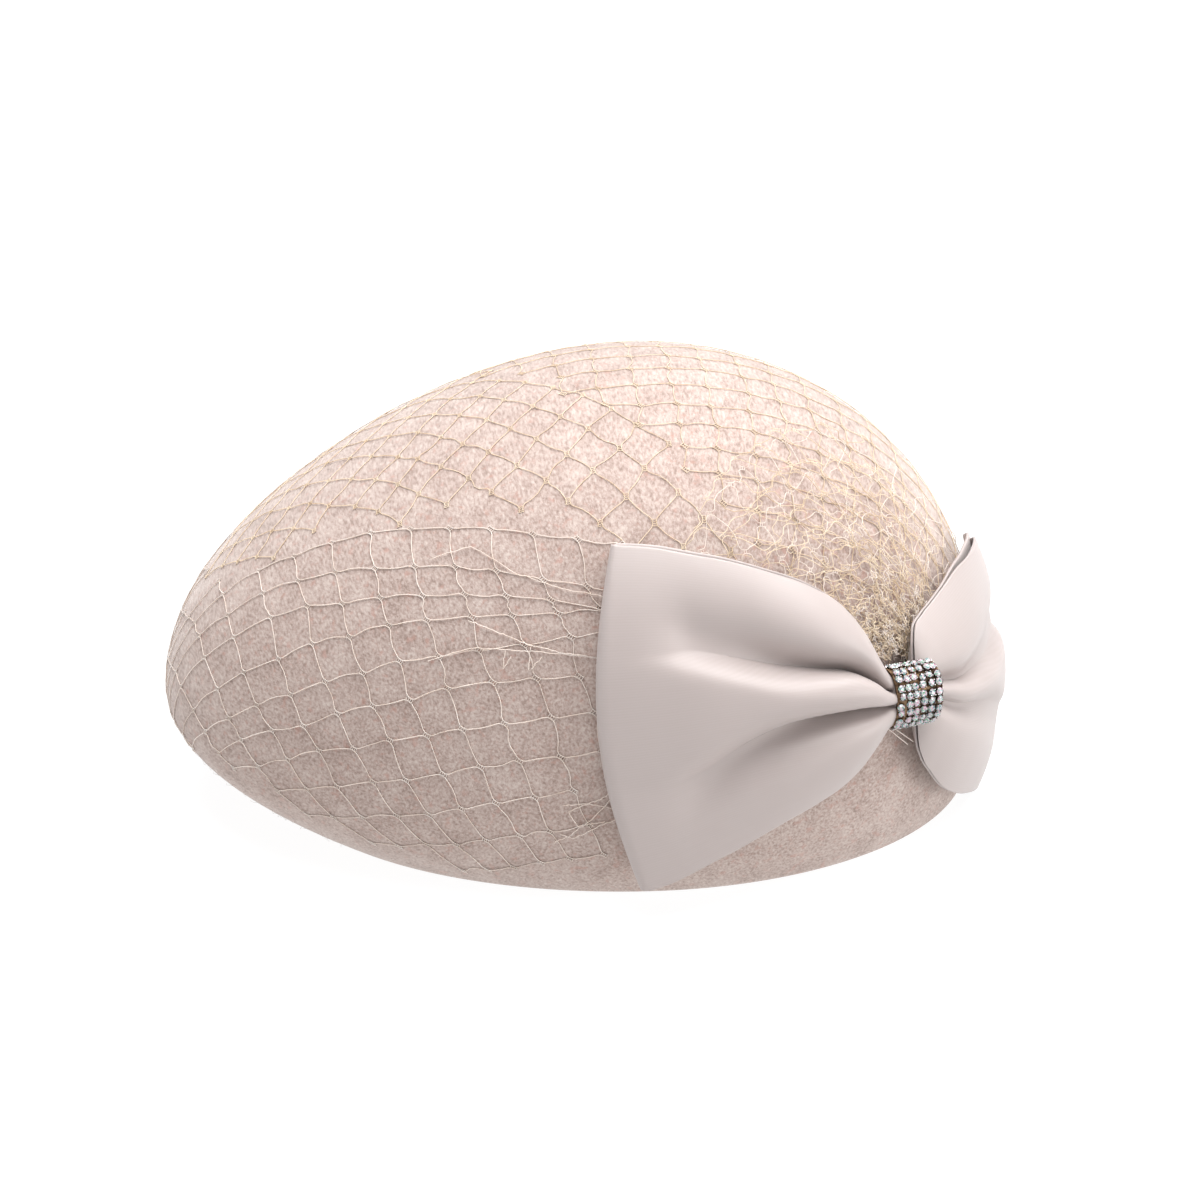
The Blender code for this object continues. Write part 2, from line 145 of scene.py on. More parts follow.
@dataclass
class CrownForm:
    """The blocked shape of the crown, which every other piece lies on.

    Azimuth turns from +X toward +Y. Climb is the length up the wall from the floor. The crown's
    own origin is on the floor under the middle of its widest level, and shift moves it to the
    frame's.
    """

    half_width: float = 95 * MM
    nose_reach: float = 144 * MM
    back_reach: float = BACK_REACH
    widest: float = 33 * MM
    height: float = 131 * MM
    top_spread: float = 113 * MM
    rim_half_width: float = 82 * MM
    rim_nose: float = 110 * MM
    rim_back: float = 101 * MM
    shift: Array = field(default_factory=lambda: np.zeros(3))
    turns: int = 360
    steps: int = 160

    def __post_init__(self) -> None:
        """Measure the dome's length at each azimuth and the angle at each share of it."""
        self.azimuths = np.linspace(-math.pi, math.pi, self.turns + 1)
        angles = np.linspace(0, math.pi / 2, 401)
        az, an = np.meshgrid(self.azimuths, angles, indexing="ij")
        points = self.dome(az.ravel(), an.ravel()).reshape(*az.shape, 3)
        runs = np.linalg.norm(np.diff(points, axis=1), axis=2)
        lengths = np.concatenate([np.zeros((len(self.azimuths), 1)), np.cumsum(runs, axis=1)], axis=1)
        self.lengths = lengths[:, -1]
        shares = np.linspace(0, 1, self.steps + 1)
        self.angle_table = np.stack([np.interp(shares * row[-1], row, angles) for row in lengths])

    def reaches(self, azimuth: Array, nose: Array, back: Array) -> Array:
        """The reach along Y at each azimuth, from the nose's and the back's."""
        return np.where(np.sin(azimuth) > 0, back, nose)

    def dome(self, azimuth: Array, angle: Array) -> Array:
        """Points above the widest level, which is at angle 0."""
        spread = np.sin(angle) ** 2
        wide, nose, back = (
            np.cos(angle) * (reach + (self.top_spread - reach) * spread)
            for reach in (self.half_width, self.nose_reach, self.back_reach)
        )
        height = self.widest + (self.height - self.widest) * np.sin(angle)
        reach = self.reaches(azimuth, nose, back)
        return np.stack([wide * np.cos(azimuth), reach * np.sin(azimuth), height], axis=-1)

    def skirt(self, azimuth: Array, rise: Array) -> Array:
        """Points of the wall under the widest level, rise being 0 at the rim."""
        tuck = (1 - rise) ** 2
        wide = self.half_width + (self.rim_half_width - self.half_width) * tuck
        nose = self.nose_reach + (self.rim_nose - self.nose_reach) * tuck
        back = self.back_reach + (self.rim_back - self.back_reach) * tuck
        reach = self.reaches(azimuth, nose, back)
        return np.stack([wide * np.cos(azimuth), reach * np.sin(azimuth), self.widest * rise], axis=-1)

    def dome_length(self, azimuth: Array) -> Array:
        """The length up the dome from the widest level to the top."""
        return np.interp(azimuth, self.azimuths, self.lengths)

    def angle_at(self, azimuth: Array, share: Array) -> Array:
        """The dome's angle at a share of its length, read from the table."""
        column = np.clip((azimuth + math.pi) / (2 * math.pi) * self.turns, 0, self.turns - 1e-6)
        row = np.clip(share, 0, 1) * (self.steps - 1e-6)
        c, r = column.astype(int), row.astype(int)
        u, v = column - c, row - r
        table = self.angle_table
        low = table[c, r] * (1 - u) + table[c + 1, r] * u
        high = table[c, r + 1] * (1 - u) + table[c + 1, r + 1] * u
        return low * (1 - v) + high * v

    def wall(self, azimuth: Array, climb: Array, plumb: bool = False) -> Array:
        """Points of the outer face at a climb from the floor.

        Args:
            azimuth: The azimuths.
            climb: The climbs, in metres.
            plumb: Whether the wall goes straight down below the widest level, as ribbon does.

        Returns:
            The points, in the crown's own axes.
        """
        azimuth = (azimuth + math.pi) % (2 * math.pi) - math.pi
        share = (climb - self.widest) / self.dome_length(azimuth)
        upper = self.dome(azimuth, self.angle_at(azimuth, share))
        if plumb:
            lower = self.skirt(azimuth, np.ones_like(climb))
            lower[..., 2] = climb
        else:
            lower = self.skirt(azimuth, np.clip(climb / self.widest, 0, 1))
        return np.where((climb < self.widest)[..., None], lower, upper)

    def wall_normal(self, azimuth: Array, climb: Array, plumb: bool = False) -> Array:
        """Outward normals of the wall, by small steps along and up it."""
        turn, rise = 0.004, 0.4 * MM
        along = self.wall(azimuth + turn, climb, plumb) - self.wall(azimuth - turn, climb, plumb)
        up = self.wall(azimuth, climb + rise, plumb) - self.wall(azimuth, climb - rise, plumb)
        normal = np.cross(along, up)
        return normal / np.linalg.norm(normal, axis=-1, keepdims=True)

    def off_wall(self, azimuth: Array, climb: Array, stand_off: Array, plumb: bool = False) -> Array:
        """Points that stand off the wall, in the frame's axes."""
        normal = self.wall_normal(azimuth, climb, plumb)
        return self.wall(azimuth, climb, plumb) + normal * np.asarray(stand_off)[..., None] + self.shift

    def climb_of(self, flat: Array) -> tuple[Array, Array]:
        """The azimuth and climb of points of a cloth laid flat from the top of the crown."""
        azimuth = np.arctan2(flat[..., 1], flat[..., 0])
        run = np.hypot(flat[..., 0], flat[..., 1])
        return azimuth, self.dome_length(azimuth) + self.widest - run

    def drape(self, flat: Array, stand_off: Array) -> Array:
        """Lay flat points on the crown, standing off it, in the frame's axes.

        Args:
            flat: Points of the flat cloth, whose origin lies at the top of the crown.
            stand_off: How far each stands off the felt.

        Returns:
            The points in the frame's axes.
        """
        def lay(points: Array) -> Array:
            azimuth, climb = self.climb_of(points)
            return self.wall(azimuth, np.maximum(climb, 0.0))

        step = 0.7 * MM
        across = lay(flat + (step, 0)) - lay(flat - (step, 0))
        along = lay(flat + (0, step)) - lay(flat - (0, step))
        normal = np.cross(across, along)
        normal /= np.maximum(np.linalg.norm(normal, axis=-1, keepdims=True), 1e-12)
        return lay(flat) + normal * np.asarray(stand_off)[..., None] + self.shift


# Materials


class Finish:
    """A node material with a Principled shader, and one way to add nodes to it."""

    def __init__(self, name: str, **sockets: float | tuple[float, ...]) -> None:
        """Start a material.

        Args:
            name: The material's name.
            sockets: Values for the shader's sockets, by name with _ for a space.
        """
        self.material = bpy.data.materials.new(name)
        self.material.use_nodes = True
        self.tree = self.material.node_tree
        self.shader = self.tree.nodes["Principled BSDF"]
        for key, value in sockets.items():
            self.shader.inputs[key.replace("_", " ")].default_value = value

    def node(self, kind: str, settings: dict | None = None, **links: object) -> bpy.types.Node:
        """Add a node with its settings and links.

        Args:
            kind: The node's type.
            settings: Its properties by name.
            links: Its inputs by name, or i and a number for an input by place. A socket is
                linked, and any other value is set.

        Returns:
            The new node.
        """
        made = self.tree.nodes.new(kind)
        for key, value in (settings or {}).items():
            setattr(made, key, value)
        for key, value in links.items():
            place = made.inputs[int(key[1:])] if key[0] == "i" and key[1:].isdigit() else made.inputs[key.replace("_", " ")]
            if isinstance(value, bpy.types.NodeSocket):
                self.tree.links.new(value, place)
            else:
                place.default_value = value
        return made

    def link(self, source: Socket, name: str) -> None:
        """Link a socket to one of the shader's, by name."""
        self.tree.links.new(source, self.shader.inputs[name])

    def ramp(self, source: Socket, *stops: tuple[float, str]) -> Socket:
        """Turn a value to colours between stops of position and hex colour."""
        made = self.node("ShaderNodeValToRGB", Fac=source)
        elements = made.color_ramp.elements
        while len(elements) < len(stops):
            elements.new(0.5)
        for element, (position, code) in zip(elements, stops):
            element.position = position
            element.color = linear(code)
        return made.outputs["Color"]

    def math(self, operation: str, *values: object) -> Socket:
        """The result of a Math node on sockets or numbers."""
        made = self.node("ShaderNodeMath", {"operation": operation}, **{f"i{n}": v for n, v in enumerate(values)})
        return made.outputs[0]

    def mix(self, share: object, first: object, second: object, blend: str = "MIX") -> Socket:
        """Mix two colours, each a socket or a linear colour."""
        made = self.node("ShaderNodeMix", {"data_type": "RGBA", "blend_type": blend}, i0=share, i6=first, i7=second)
        return made.outputs[2]

    def bump(self, height: Socket, distance: float, strength: float, under: Socket | None = None) -> Socket:
        """A bump of a height in metres, over another normal where one is given."""
        links = {"Height": height, "Distance": distance, "Strength": strength}
        if under is not None:
            links["Normal"] = under
        return self.node("ShaderNodeBump", **links).outputs["Normal"]


@dataclass(frozen=True)
class WoolFelt:
    """Melange wool felt, fulled and blocked on a wooden form.

    Its dyed and undyed fibres lie matted in all directions, so the eye sees short pale and dark
    flecks a millimetre or two long, cloudy patches a centimetre wide, and a soft whitish edge.
    """

    pale: str = "C3B5AD"
    middle: str = "AD9A92"
    dark: str = "8F7C73"
    red: str = "B0887C"
    fleck_length: float = 2.7 * MM
    fleck_width: float = 0.8 * MM
    warp: float = 1.2 * MM
    cloud: float = 9 * MM

    def build(self) -> bpy.types.Material:
        """Make the material."""
        f = Finish("wool_felt_fulled_melange", Roughness=0.95, Specular_IOR_Level=0.2, Sheen_Weight=0.5,
                   Sheen_Roughness=0.45, Sheen_Tint=linear("FFFAF6"))
        place = f.node("ShaderNodeTexCoord").outputs["Object"]
        warp = f.node("ShaderNodeTexNoise", Vector=place, Scale=1 / (5 * MM), Detail=2.0)
        bent = f.node("ShaderNodeVectorMath", {"operation": "MULTIPLY_ADD"}, i0=warp.outputs["Color"],
                      i1=(self.warp, self.warp, self.warp), i2=place).outputs[0]
        flecks = []
        for turn in (0.0, 1.05, 2.1):
            laid = f.node("ShaderNodeMapping", Vector=bent, Rotation=(turn * 0.7, 0.5 + turn, turn),
                          Scale=(1 / self.fleck_length, 1 / self.fleck_width, 1 / self.fleck_width))
            flecks.append(f.node("ShaderNodeTexNoise", Vector=laid.outputs[0], Scale=1.0, Detail=2.5,
                                 Roughness=0.55).outputs["Fac"])
        lowest = f.math("MINIMUM", f.math("MINIMUM", flecks[0], flecks[1]), flecks[2])
        highest = f.math("MAXIMUM", f.math("MAXIMUM", flecks[0], flecks[1]), flecks[2])
        melange = f.math("MULTIPLY", f.math("ADD", lowest, highest), 0.5)
        cloud = f.node("ShaderNodeTexNoise", Vector=place, Scale=1 / self.cloud, Detail=3.0).outputs["Fac"]
        tone = f.math("ADD", melange, f.math("MULTIPLY", f.math("SUBTRACT", cloud, 0.5), 0.22))
        colour = f.ramp(tone, (0.36, self.dark), (0.49, self.middle), (0.64, self.pale))
        reddish = f.node("ShaderNodeTexNoise", Vector=bent, Scale=1 / (2.4 * MM), Detail=2.0).outputs["Fac"]
        share = f.node("ShaderNodeMapRange", Value=reddish, i1=0.58, i2=0.72, i3=0.0, i4=0.5).outputs[0]
        colour = f.mix(share, colour, linear(self.red))
        f.link(colour, "Base Color")
        fine = f.node("ShaderNodeTexNoise", Vector=bent, Scale=1 / (0.45 * MM), Detail=2.0).outputs["Fac"]
        f.link(f.bump(fine, 0.2 * MM, 0.4, f.bump(melange, 0.5 * MM, 0.3)), "Normal")
        return f.material


@dataclass(frozen=True)
class VeilThread:
    """Twisted polyester thread of a stiffened millinery net, dull with a faint gloss."""

    name: str = "net_thread_twisted"
    colour: str = "DED0C6"
    shade: str = "CDBDB1"

    def build(self) -> bpy.types.Material:
        """Make the material."""
        f = Finish(self.name, Roughness=0.6, Specular_IOR_Level=0.4, Sheen_Weight=0.2, Subsurface_Weight=0.4,
                   Subsurface_Radius=(1.0, 0.9, 0.8), Subsurface_Scale=0.5 * MM)
        place = f.node("ShaderNodeTexCoord").outputs["Object"]
        tone = f.node("ShaderNodeTexNoise", Vector=place, Scale=1 / (7 * MM), Detail=1.0).outputs["Fac"]
        f.link(f.ramp(tone, (0.35, self.shade), (0.62, self.colour)), "Base Color")
        return f.material


@dataclass(frozen=True)
class SatinRibbon:
    """Polyester satin ribbon, woven with a faint rib along its length.

    The long floats give a broad soft gloss, and the rib shows as fine lines half a millimetre
    apart.
    """

    colour: str = "B2A7A4"
    shade: str = "AFA4A0"
    rib: float = 0.75 * MM

    def build(self) -> bpy.types.Material:
        """Make the material."""
        f = Finish("ribbon_satin_woven", Roughness=0.42, Specular_IOR_Level=0.4, Anisotropic=0.35,
                   Sheen_Weight=0.15, Sheen_Roughness=0.4, Subsurface_Weight=0.25,
                   Subsurface_Radius=(1.0, 0.9, 0.85), Subsurface_Scale=1.2 * MM)
        uv = f.node("ShaderNodeUVMap", {"uv_map": "ribbon"}).outputs[0]
        parts = f.node("ShaderNodeSeparateXYZ", Vector=uv)
        wobble = f.node("ShaderNodeTexNoise", Vector=uv, Scale=30.0, Detail=2.0).outputs["Fac"]
        across = f.math("ADD", parts.outputs["Y"], f.math("MULTIPLY", wobble, 0.6 * MM))
        wave = f.math("SINE", f.math("MULTIPLY", across, 2 * math.pi / self.rib))
        slub_place = f.node("ShaderNodeMapping", Vector=uv, Scale=(1 / (14 * MM), 1 / (0.5 * MM), 1.0)).outputs[0]
        slub = f.node("ShaderNodeTexNoise", Vector=slub_place, Scale=1.0, Detail=2.0).outputs["Fac"]
        weave = f.math("ADD", f.math("MULTIPLY", wave, 0.35), slub)
        f.link(f.ramp(weave, (0.1, self.shade), (0.9, self.colour)), "Base Color")
        f.link(f.bump(weave, 0.01 * MM, 0.35), "Normal")
        return f.material


@dataclass(frozen=True)
class CutCrystal:
    """Lead-free crystal, cut and coated on the back. Its base colour is painted reflection over the shader's own gloss:
    dark reflections of the pavilion, white highlights and pale coloured glints of the coating, mottled at random.
    """

    name: str = "crystal_cut_painted_reflections"
    # Painted reflection colours: dark pavilion reflections at both ends, white highlights and pale coating glints
    # between.
    stops: tuple[tuple[float, str], ...] = (
        (0.28, "3C4A52"), (0.36, "8FC4C0"), (0.43, "D8DCDC"), (0.50, "D890B0"), (0.56, "E4E4E6"),
        (0.63, "86C79A"), (0.70, "8C88B8"), (0.78, "40384C"),
    )

    def build(self) -> bpy.types.Material:
        """Make the material."""
        f = Finish(self.name, Roughness=0.04, IOR=1.6, Transmission_Weight=0.25, Coat_Weight=0.5, Coat_Roughness=0.03)
        place = f.node("ShaderNodeTexCoord").outputs["Object"]
        tone = f.node("ShaderNodeTexNoise", Vector=place, Scale=1 / (0.9 * MM), Detail=1.0).outputs["Fac"]
        # The ramp paints the stone's reflections and highlights into its base colour.
        f.link(f.ramp(tone, *self.stops), "Base Color")
        return f.material


@dataclass(frozen=True)
class Plated:
    """A plated metal: silver on the stones' cups, pale gold on the mesh they are set in."""

    name: str
    colour: str
    worn: str
    roughness: float

    def build(self) -> bpy.types.Material:
        """Make the material."""
        f = Finish(self.name, Metallic=1.0, Roughness=self.roughness)
        place = f.node("ShaderNodeTexCoord").outputs["Object"]
        tone = f.node("ShaderNodeTexNoise", Vector=place, Scale=1 / (1.1 * MM), Detail=3.0).outputs["Fac"]
        f.link(f.ramp(tone, (0.35, self.worn), (0.65, self.colour)), "Base Color")
        return f.material


# The felt crown


@dataclass
class FeltShell:
    """The blocked felt, a closed wall open at the rim, with a rounded cut edge."""

    form: CrownForm
    wall: float = 2.5 * MM
    sectors: int = 200
    rings: int = 120
    rim_drop: float = 30.0
    edge_round: float = 0.7 * MM
    waver: float = 0.15 * MM

    def build(self, material: bpy.types.Material) -> bpy.types.Object:
        """Shape the shell from a sphere cut at the rim.

        Args:
            material: The felt's material.

        Returns:
            The piece.
        """
        bm = bmesh.new()
        bmesh.ops.create_uvsphere(bm, u_segments=self.sectors, v_segments=self.rings, radius=1.0)
        floor = math.sin(math.radians(self.rim_drop))
        low = [v for v in bm.verts if v.co.z < -floor - 1e-4]
        bmesh.ops.delete(bm, geom=low, context="VERTS")
        self.lay(bm.verts, math.radians(self.rim_drop))
        bm.normal_update()
        bmesh.ops.solidify(bm, geom=list(bm.faces), thickness=self.wall)
        for vert in bm.verts:
            if vert.co.z < 1.2 * MM:
                vert.co.z = 0.0
        bmesh.ops.recalc_face_normals(bm, faces=bm.faces)
        bm.normal_update()
        edges = [e for e in bm.edges if all(v.co.z < 0.01 * MM for v in e.verts) and e.calc_face_angle(0) > 0.6]
        bmesh.ops.bevel(bm, geom=edges, offset=self.edge_round, segments=3, profile=0.5, affect="EDGES", material=-1)
        return from_bmesh(bm, "felt_shell", material)

    def lay(self, verts: bmesh.types.BMVertSeq, drop: float) -> None:
        """Move the points of a cut sphere to the crown's outer face, with a slight hand-made waver."""
        verts = list(verts)
        points = np.array([v.co for v in verts])
        azimuth = np.arctan2(points[:, 1], points[:, 0])
        angle = np.arcsin(np.clip(points[:, 2], -1, 1))
        upper = self.form.dome(azimuth, np.maximum(angle, 0))
        lower = self.form.skirt(azimuth, np.clip(1 + angle / drop, 0, 1))
        placed = np.where((angle < 0)[:, None], lower, upper)
        wave = np.sin(3 * azimuth + 1.0) * np.sin(2.2 * angle + 0.6) + 0.6 * np.sin(5 * azimuth) * np.cos(3 * angle)
        inward = -placed / np.linalg.norm(placed, axis=1, keepdims=True)
        inward[:, 2] = 0
        placed = placed + inward * (self.waver * (0.5 + 0.3 * wave) * smooth_step(0, 0.3, angle))[:, None]
        for vert, point in zip(verts, placed + self.form.shift):
            vert.co = point


@dataclass
class LooseFibres:
    """Short wool ends that stand up from the felt and soften its outline."""

    form: CrownForm
    count: int = 5200
    thickness: float = 0.05 * MM
    reach: float = 1.3 * MM
    seed: int = 5

    def build(self, material: bpy.types.Material) -> bpy.types.Object:
        """Scatter the fibres over the outer face, each a short bent hair."""
        rng = np.random.default_rng(self.seed)
        azimuth = rng.uniform(-math.pi, math.pi, self.count)
        top = self.form.dome_length(azimuth) + self.form.widest
        climb = top * (1 - np.sqrt(rng.uniform(0.0, 0.96, self.count)))
        length = self.reach * rng.uniform(0.5, 1.4, self.count)
        turn = rng.uniform(0, 2 * math.pi, self.count)
        paths = []
        stations = ((0.0, -0.1), (0.45, 0.35), (0.8, 0.5), (1.0, 0.35))
        radius = np.maximum(top - climb, 12 * MM)
        for share, rise in stations:
            step_az = share * length * np.cos(turn) / radius
            step_up = share * length * np.sin(turn)
            lift = np.maximum(length * rise * rng.uniform(0.5, 1.1, self.count), -0.1 * MM)
            paths.append(self.form.off_wall(azimuth + step_az, np.clip(climb + step_up, 0.4 * MM, top - 3 * MM), lift))
        strands = [np.array(row) for row in np.stack(paths, axis=1)]
        return threads("felt_fibres", strands, self.thickness, material)


def threads(name: str, paths: list[Array], thickness: float, material: bpy.types.Material, sides: int = 0) -> bpy.types.Object:
    """Turn paths to round threads, made as curves with a bevel and then a mesh.

    Args:
        name: The piece's name.
        paths: The points of each thread.
        thickness: The thread's diameter.
        material: Its material.
        sides: The bevel's resolution: 0 gives four sides.

    Returns:
        The piece, as a mesh at the origin.
    """
    curve = bpy.data.curves.new(name + "_paths", "CURVE")
    curve.dimensions = "3D"
    curve.bevel_depth = thickness / 2
    curve.bevel_resolution = sides
    curve.use_fill_caps = True
    curve.twist_mode = "MINIMUM"
    for path in paths:
        spline = curve.splines.new("POLY")
        spline.points.add(len(path) - 1)
        spline.points.foreach_set("co", np.column_stack([path, np.ones(len(path))]).ravel())
    holder = bpy.data.objects.new(name + "_paths", curve)
    bpy.context.collection.objects.link(holder)
    bpy.context.view_layer.update()
    mesh = bpy.data.meshes.new_from_object(holder.evaluated_get(bpy.context.evaluated_depsgraph_get()))
    mesh.name = name
    bpy.data.objects.remove(holder, do_unlink=True)
    bpy.data.curves.remove(curve)
    return new_object(name, mesh, material)


# The net


Mapping = Callable[[Array, Array], Array]
Cover = Callable[[Array], Array]


@dataclass
class NetLayer:
    """A layer of veil net: zigzag threads that touch at their corners, held there by tiny bars.

    The net's nodes lie at whole numbers along and across it. A thread runs along to the next
    node, turns across to the one after, and so on, and its neighbour's corner faces its own.
    """

    name: str
    form: CrownForm
    place: Mapping
    covers: Cover
    along: range
    across: range
    thread: float = 0.32 * MM
    bar: float = 0.22 * MM
    corner_gap: float = 0.5 * MM
    corner_run: float = 1.15 * MM
    corner_round: float = 1.6 * MM
    bars: int = 4
    bar_pitch: float = 0.7 * MM
    jitter: float = 0.5 * MM
    sag: float = 0.35 * MM
    stand_off: tuple[float, float] = (0.18 * MM, 0.38 * MM)
    seed: int = 1

    def build(self, material: bpy.types.Material) -> bpy.types.Object:
        """Lay the layer on the crown.

        Args:
            material: The thread's material.

        Returns:
            The piece.
        """
        rng = np.random.default_rng(self.seed)
        along, across = np.meshgrid(np.array(self.along), np.array(self.across), indexing="ij")
        nodes = self.place(along.astype(float), across.astype(float))
        nodes = nodes + rng.normal(0, self.jitter, nodes.shape)
        kept = self.covers(nodes)
        step_along = self.unit(self.place(along + 0.5, across + 0.0) - self.place(along - 0.5, across + 0.0))
        step_across = self.unit(self.place(along + 0.0, across + 0.5) - self.place(along + 0.0, across - 0.5))
        aside = self.unit(step_along - step_across)
        run = self.unit(step_along + step_across)
        paths: list[Array] = []
        lifts: list[Array] = []
        height = rng.uniform(*self.stand_off, nodes.shape[:2])
        for first in range(1 - len(self.across), len(self.along)):
            self.follow(first, nodes, kept, aside, run, height, rng, paths, lifts)
        bars, bar_lifts = self.bar_paths(nodes, kept, aside, run, height)
        thread_paths = self.laid(paths, lifts)
        obj = threads(self.name, thread_paths, self.thread, material)
        knots = threads(self.name + "_bars", self.laid(bars, bar_lifts), self.bar, material)
        join(obj, knots)
        return obj

    @staticmethod
    def unit(vectors: Array) -> Array:
        """The vectors at a length of one."""
        return vectors / np.maximum(np.linalg.norm(vectors, axis=-1, keepdims=True), 1e-12)

    def follow(self, first: int, nodes: Array, kept: Array, aside: Array, run: Array, height: Array,
               rng: np.random.Generator, paths: list[Array], lifts: list[Array]) -> None:
        """Follow one zigzag thread and keep each run of it that lies on the covered part.

        Args:
            first: The thread's number: how far along its corner on the first row lies.
            nodes: The flat points of the nodes.
            kept: Which nodes are covered.
            aside: The direction from a corner to its neighbour's.
            run: The thread's direction past a node.
            height: Each node's stand-off.
            rng: The random draws.
            paths: The list that runs of flat points are added to.
            lifts: The list that their stand-offs are added to.
        """
        corners: list[Array] = []
        heights: list[float] = []

        def close() -> None:
            if len(corners) > 1:
                path, lift = self.rounded(np.array(corners), np.array(heights), rng)
                paths.append(path)
                lifts.append(lift)
            corners.clear()
            heights.clear()

        rows, columns = kept.shape
        for across in range(columns):
            for side, along in ((1, first + across), (-1, first + across + 1)):
                if 0 <= along < rows and kept[along, across]:
                    middle = nodes[along, across] + aside[along, across] * self.corner_gap * side
                    for end in (-1, 1):
                        corners.append(middle + run[along, across] * self.corner_run * end)
                        heights.append(height[along, across])
                else:
                    close()
        close()

    def rounded(self, corners: Array, heights: Array, rng: np.random.Generator) -> tuple[Array, Array]:
        """Round a run's corners and let its stretches sag a little."""
        points, lift = [corners[0]], [heights[0]]
        for index in range(1, len(corners)):
            before, here = corners[index - 1], corners[index]
            length = np.linalg.norm(here - before)
            side = np.array([-(here - before)[1], (here - before)[0]]) / max(length, 1e-9)
            bow = rng.normal(0, self.sag)
            rise = rng.uniform(*self.stand_off)
            for share in (0.38, 0.62) if index % 2 == 0 else ():
                points.append(before + (here - before) * share + side * bow)
                lift.append(rise)
            if index == len(corners) - 1:
                points.append(here)
                lift.append(heights[index])
                continue
            after = corners[index + 1]
            radius = min(self.corner_round, 0.4 * length, 0.4 * np.linalg.norm(after - here))
            start = here + (before - here) / max(length, 1e-9) * radius
            end = here + (after - here) / max(np.linalg.norm(after - here), 1e-9) * radius
            for share in (0.0, 0.5, 1.0):
                points.append((1 - share) ** 2 * start + 2 * share * (1 - share) * here + share ** 2 * end)
                lift.append(heights[index])
        return np.array(points), np.array(lift)

    def bar_paths(self, nodes: Array, kept: Array, aside: Array, run: Array, height: Array) -> tuple[list[Array], list[Array]]:
        """The tiny bars across the gap at each node."""
        paths, lifts = [], []
        half = self.corner_gap + self.bar
        for spot in np.argwhere(kept):
            i, j = spot
            for number in range(self.bars):
                shift = (number - (self.bars - 1) / 2) * self.bar_pitch
                middle = nodes[i, j] + run[i, j] * shift
                spread = half + abs(shift) * 0.12
                paths.append(np.array([middle - aside[i, j] * spread, middle + aside[i, j] * spread]))
                lifts.append(np.full(2, height[i, j]))
        return paths, lifts

    def laid(self, paths: list[Array], lifts: list[Array]) -> list[Array]:
        """Lay flat paths on the crown all at once."""
        if not paths:
            return []
        flat = np.concatenate(paths)
        lift = np.concatenate(lifts)
        points = self.form.drape(flat, lift)
        ends = np.cumsum([len(path) for path in paths])[:-1]
        return [part for part in np.split(points, ends)]


def join(obj: bpy.types.Object, other: bpy.types.Object, material_index: int = 0) -> None:
    """Join another object's mesh into the first, with its material's index there, and remove it."""
    bm = bmesh.new()
    bm.from_mesh(obj.data)
    count = len(bm.faces)
    bm.from_mesh(other.data)
    bm.faces.ensure_lookup_table()
    for face in bm.faces[count:]:
        face.material_index = material_index
    bm.to_mesh(obj.data)
    bm.free()
    mesh = other.data
    bpy.data.objects.remove(other, do_unlink=True)
    bpy.data.meshes.remove(mesh)


# The bow


@dataclass(frozen=True)
class Section:
    """One section across a loop, in millimetres, at a distance along it from the bow's centre.

    top and bottom are climbs. crest is the outer layer's stand-off at its middle, high_edge and
    low_edge at its borders, high_lining and low_lining the inner layer's there. The panel between
    the two pleats ends at high and low, shares of the half height, and high_depth and low_depth
    are how deep the pleats beside it are.
    """

    along: float
    top: float
    bottom: float
    crest: float
    high_edge: float
    low_edge: float
    high_lining: float
    low_lining: float
    high_depth: float
    low_depth: float
    high: float
    low: float


LEFT_SECTIONS = (
    Section(6, 62.5, 51, 10.6, 8.4, 8.4, 7.4, 7.4, 2.0, 2.0, 0.46, 0.0),
    Section(9, 64, 50, 11.4, 8.4, 8.4, 7.3, 7.3, 4.0, 4.0, 0.40, -0.01),
    Section(12, 69, 46.5, 12.6, 8.2, 8.2, 7.0, 7.0, 6.8, 6.2, 0.34, -0.03),
    Section(16, 77, 42, 14.6, 8.0, 8.0, 6.6, 6.5, 10.4, 9.0, 0.28, -0.05),
    Section(21, 85, 38, 15.6, 7.6, 7.6, 6.1, 6.0, 12.4, 11.0, 0.24, -0.07),
    Section(30, 93, 34, 15.4, 7.4, 7.4, 5.6, 5.4, 12.2, 11.8, 0.21, -0.11),
    Section(41, 99, 30, 13.8, 7.2, 7.2, 5.1, 4.7, 10.8, 10.6, 0.24, -0.17),
    Section(53, 104, 25, 11.2, 6.8, 6.8, 4.6, 4.0, 7.8, 8.0, 0.32, -0.26),
    Section(65, 107, 20, 9.4, 6.4, 6.4, 4.2, 3.4, 5.2, 5.2, 0.40, -0.37),
    Section(76, 109, 15, 7.8, 6.2, 6.2, 3.8, 3.2, 0.8, 1.4, 0.44, -0.43),
    Section(86, 110, 11, 6.6, 6.2, 6.2, 3.4, 3.0, 0.0, 0.0, 0.45, -0.43),
)
